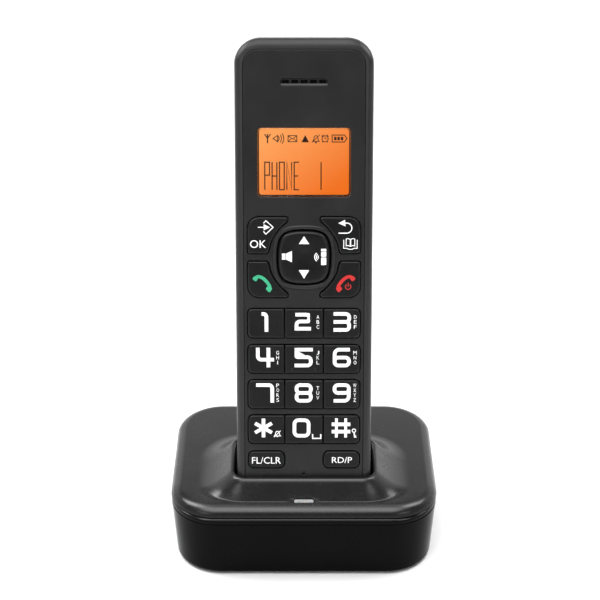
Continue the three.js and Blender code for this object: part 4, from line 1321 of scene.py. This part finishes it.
# Name, place across, half widths of the block and of its mouth, and number of wires.
SOCKETS = (("line_socket", -22, 7.5, 5.1, 4), ("power_socket", 22, 6.2, 4.0, 2))
SOCKET = {
    "front": 16.4, "back": 30.6, "low": 6.5, "high": 17.0, "mouth_low": 8.2, "mouth_high": 14.9,
}
BACK_WALL = (28.7, 36.7)


def button_outline(grow):
    return rounded(-6 - grow, 6 + grow, 10 - grow, 16 + grow, 2.9 + grow, 10)


case_cuts = [pillar(circle(x, MIDDLE, 3.2, 48), 0, 3.6) for x in SCREWS]
case_cuts += [pillar(circle(x, y, 4.8, 48), 0, 1.8) for x, y in FEET]
for _, x, _, mouth, _ in SOCKETS:
    low, high = SOCKET["mouth_low"] - GAP, SOCKET["mouth_high"] + GAP
    hole = rounded(x - mouth - GAP, x + mouth + GAP, low, high, 0.5, 4)
    case_cuts.append(prism(hole, *BACK_WALL))
case_cuts.append(prism(button_outline(GAP), *BACK_WALL))
soften(cut(case, case_cuts), 0.1)

# Rubber feet, screws, paging button.
FOOT = (
    (4.1, 1.55), (4.5, 1.45), (4.5, 0.35), (4.4, 0.12), (4.15, 0.0), (2.6, 0.0), (2.2, 0.3),
    (1.0, 0.38),
)
for number, (x, y) in enumerate(FEET, start=1):
    rings = [at_height(circle(x, y, radius, 48), z) for radius, z in FOOT]
    add_loft(
        f"foot_{number}", rings, "base", "rubber", matrix=ROW, sharp=50,
        replaces=f"base_foot_{number}",
    )


def cross(x, y, reach, width, low, high):
    """A cross recess: one bar across another."""
    bars = ((reach, width), (width, reach))
    return [pillar(box(x - a, x + a, y - b, y + b), low, high) for a, b in bars]


PAN_HEAD = (
    (1.0, 1.72), (1.9, 1.78), (2.4, 1.98), (2.7, 2.35), (2.8, 2.8), (2.8, 3.3), (1.3, 3.3),
    (1.3, 14.0),
)
for number, x in enumerate(SCREWS, start=1):
    rings = [at_height(circle(x, MIDDLE, radius, 48), z) for radius, z in PAN_HEAD]
    screw = add_loft(
        f"case_screw_{number}", rings, "base", "tin", matrix=ROW, sharp=50,
        replaces=f"base_screw_{number}",
    )
    cut(screw, cross(x, MIDDLE, 1.5, 0.35, 1, 2.6))
    weighted(screw)

BUTTON = (
    (1.2, 29.8), (1.2, 30.9), (0, 31.0), (0, 34.0), (-0.06, 34.25), (-0.22, 34.45),
    (-0.5, 34.57), (-1.0, 34.6),
)
add_loft(
    "paging_button", [at_depth(button_outline(grow), depth) for grow, depth in BUTTON],
    "page_button", "key", matrix=ROW, sharp=50, replaces="page_button",
)
page_mark = Print(0, 13, 34.6, 1)
page_mark.fill(rounded(-1.6, 0.0, -2.0, 2.0, 0.4, 4))
for radius in (0.9, 1.6, 2.3):
    page_mark.stroke(arc(0.3, 0, radius, -45, 45, 8), 0.3)
page_mark.finish("paging_button_sign", "page_button", matrix=ROW)

# Sockets: rounded blocks with a mouth, a latch notch and bent contact wires.
WIRE_PATH = ((21.7, 8.6), (29.3, 8.7), (29.7, 9.0), (29.4, 9.35), (22.2, 12.2), (22.0, 12.5))
WIRE_RADIUS = 0.2
WIRE_PITCH = 1.27


def wire_mesh(x):
    """One springy contact wire, bent back on itself."""
    turns = [math.pi / 3 * step for step in range(6)]
    rings = [
        [(x + WIRE_RADIUS * math.cos(turn), y, z + WIRE_RADIUS * math.sin(turn)) for turn in turns]
        for y, z in WIRE_PATH
    ]
    wire = loft(rings)
    mesh = bpy.data.meshes.new("wire")
    wire.to_mesh(mesh)
    wire.free()
    return mesh


def add_wires(name, x, count):
    wires = bmesh.new()
    for index in range(count):
        mesh = wire_mesh(x + (index - (count - 1) / 2) * WIRE_PITCH)
        wires.from_mesh(mesh)
        bpy.data.meshes.remove(mesh)
    add_object(name, mesh_from(wires, name, 60), "base", "gold", ROW)


for name, x, half, mouth, wires in SOCKETS:
    block = rounded(x - half, x + half, SOCKET["low"], SOCKET["high"], 0.4, 4)
    body = add_loft(
        f"{name}_body", [at_depth(block, SOCKET["front"]), at_depth(block, SOCKET["back"])],
        "base", "dark", matrix=ROW, replaces=name,
    )
    roof = SOCKET["mouth_high"]
    hollow = rounded(x - mouth, x + mouth, SOCKET["mouth_low"], roof, 0.3, 4)
    latch = rounded(x - mouth * 0.45, x + mouth * 0.45, roof - 0.5, roof + 1.2, 0.25, 4)
    cuts = [prism(hollow, SOCKET["back"] - 12, 32), prism(latch, SOCKET["back"] - 7, 32)]
    soften(cut(body, cuts), 0.15)
    add_wires(f"{name}_wires", x, wires)


# ---- Charging contacts ----

def strip_rings(path, thickness):
    """The points along both faces of a bent strip."""
    outer, inner = [], []
    for i, here in enumerate(path):
        before, after = Vector(path[max(i - 1, 0)]), Vector(path[min(i + 1, len(path) - 1)])
        tangent = (after - before).normalized()
        side = Vector((-tangent.y, tangent.x)) * thickness / 2
        outer.append(Vector(here) + side)
        inner.append(Vector(here) - side)
    return outer, inner


LEAF = [(-1.55, -14.0), (-1.55, -1.8)] + arc(0, -1.8, 1.55, 180, 0, 24)[1:] + [(1.55, -6.0)]
outer, inner = strip_rings(LEAF, 0.5)
profile = [*outer, *inner[::-1]]
for name, side in (("charge_contact_left", -1), ("charge_contact_right", 1)):
    rings = [
        [Vector((side * CONTACT[0] + across, CONTACT[1] + y, z)) for y, z in profile]
        for across in (-2.0, 2.0)
    ]
    leaf = add_loft(f"{name}_leaf", rings, name, "gold", replaces=name)
    soften(leaf, 0.08)

# ---- Carried-over CAD pieces: each keeps its shape and gets its own finish ----

KEPT = {
    "base_pcb": "board", "base_shield_can": "tin", "page_switch": "dark",
    "lcd_backlight": "diffuser", "earpiece_mesh": "mesh", "earpiece_speaker": "dark",
    "handset_pcb": "board", "handset_shield_can": "tin", "keypad_mat": "silicone",
    "microphone": "tin", "ringer_speaker": "dark", "battery_cell_1": "cell",
    "battery_cell_2": "cell",
    "battery_contact_strip": "nickel", "battery_terminal_plate": "nickel",
    "battery_spring_1": "nickel", "battery_spring_2": "nickel",
    "handset_charge_plate_left": "gold", "handset_charge_plate_right": "gold",
    "handset_screw_1": "tin", "handset_screw_2": "tin", "nav_pivot": "silicone",
}
for name, material in KEPT.items():
    node = frame["nodes"][name]
    for node_slot in node.material_slots:
        node_slot.material = MATERIALS[material]

# ---- Studio ----

CAMERA = {"elevation": 28.0, "distance": 604.1, "target": (-1.4, -2.35, 94.76), "lens": 102.15}
FLOOR_HALF = 15.0
ROOM = {
    "front": 0.12, "back": 1.2, "backdrop_edge": (30, 35), "above_backdrop": 0.12,
    "ceiling": 1.6, "ceiling_from": 0.7,
}
# Azimuth from the front, elevation, outer and inner edge in degrees, then strength.
SOFTBOXES = ((-16, 67, 32, 10, 3.4), (-33, 17, 17, 6, 2.6), (33, 17, 17, 6, 2.3))
# Place, aim and size in metres, then power.
LIGHTS = (
    ("key_light", (-0.5, 0.1, 0.7), (0, 0, 0.08), (0.35, 0.35), 1.5),
    ("left_lamp", (-0.22, 0.02, 0.3), (-0.13, 0, 0), (0.12, 0.2), 0.45),
    ("right_lamp", (0.22, 0.02, 0.3), (0.13, 0, 0), (0.12, 0.2), 0.45),
)


def add_camera():
    data = bpy.data.cameras.new("camera")
    data.lens = CAMERA["lens"]
    data.sensor_width = 36.0
    data.clip_start = 0.01
    camera = link("camera", data)
    rise = math.radians(CAMERA["elevation"])
    back = Vector((0, -math.cos(rise), math.sin(rise)))
    camera.matrix_world = back.to_track_quat("Z", "Y").to_matrix().to_4x4()
    camera.location = (Vector(CAMERA["target"]) + back * CAMERA["distance"]) * MM
    bpy.context.scene.camera = camera


def add_light(name, place, aim, size, power):
    data = bpy.data.lights.new(name, "AREA")
    data.shape = "RECTANGLE"
    data.size, data.size_y = size
    data.energy = power
    light = link(name, data)
    towards = Vector(place) - Vector(aim)
    light.matrix_world = towards.to_track_quat("Z", "Y").to_matrix().to_4x4()
    light.location = place


def add_floor():
    bm = bmesh.new()
    corners = [(-1, -1), (1, -1), (1, 1), (-1, 1)]
    bm.faces.new([bm.verts.new((x * FLOOR_HALF, y * FLOOR_HALF, 0)) for x, y in corners])
    mesh = bpy.data.meshes.new("floor")
    bm.to_mesh(mesh)
    bm.free()
    floor = link("floor", mesh)
    paint = Shader("floor_paint", roughness=0.9, specular_ior_level=0.1)
    haze = paint.noise(40, 4)
    paint.set("base_color", paint.tint(haze, (0.93, 0.93, 0.93), (0.96, 0.96, 0.96)))
    paint.set("normal", paint.bump(haze, 0.05, 0.2))
    mesh.materials.append(paint.material)
    floor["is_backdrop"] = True


def add_world():
    """A studio room: a pale backdrop behind, a soft ceiling and round softboxes in front."""
    world = bpy.data.worlds.new("studio")
    world.use_nodes = True
    nodes, links = world.node_tree.nodes, world.node_tree.links

    def span(value, low, high, start, end, soft=True):
        node = nodes.new("ShaderNodeMapRange")
        node.interpolation_type = "SMOOTHSTEP" if soft else "LINEAR"
        limits = {"From Min": start, "From Max": end, "To Min": low, "To Max": high}
        for name, number in limits.items():
            node.inputs[name].default_value = number
        links.new(value, node.inputs["Value"])
        return node.outputs["Result"]

    def join(operation, first, second):
        node = nodes.new("ShaderNodeMath")
        node.operation = operation
        links.new(first, node.inputs[0])
        links.new(second, node.inputs[1])
        return node.outputs["Value"]

    direction = nodes.new("ShaderNodeTexCoord").outputs["Generated"]
    split = nodes.new("ShaderNodeSeparateXYZ")
    links.new(direction, split.inputs["Vector"])
    low_edge, high_edge = (math.sin(math.radians(angle)) for angle in ROOM["backdrop_edge"])
    wall = span(split.outputs["Y"], ROOM["front"], ROOM["back"], -0.3, 0.8, False)
    fade = span(split.outputs["Z"], 1.0, ROOM["above_backdrop"], low_edge, high_edge)
    ceiling = span(split.outputs["Z"], 0.0, ROOM["ceiling"], ROOM["ceiling_from"], 1.0)
    total = join("ADD", join("MULTIPLY", wall, fade), ceiling)
    for azimuth, elevation, outer, inner, strength in SOFTBOXES:
        turn, rise = math.radians(azimuth), math.radians(elevation)
        towards = nodes.new("ShaderNodeVectorMath")
        towards.operation = "DOT_PRODUCT"
        towards.inputs[1].default_value = (
            math.sin(turn) * math.cos(rise), -math.cos(turn) * math.cos(rise), math.sin(rise),
        )
        links.new(direction, towards.inputs[0])
        edges = (math.cos(math.radians(angle)) for angle in (outer, inner))
        total = join("ADD", total, span(towards.outputs["Value"], 0.0, strength, *edges))
    nodes["Background"].inputs["Color"].default_value = (1, 1, 1, 1)
    links.new(total, nodes["Background"].inputs["Strength"])
    bpy.context.scene.world = world


add_camera()
add_world()
add_floor()
for light in LIGHTS:
    add_light(*light)
bpy.context.scene.view_settings.view_transform = "Standard"

low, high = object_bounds()
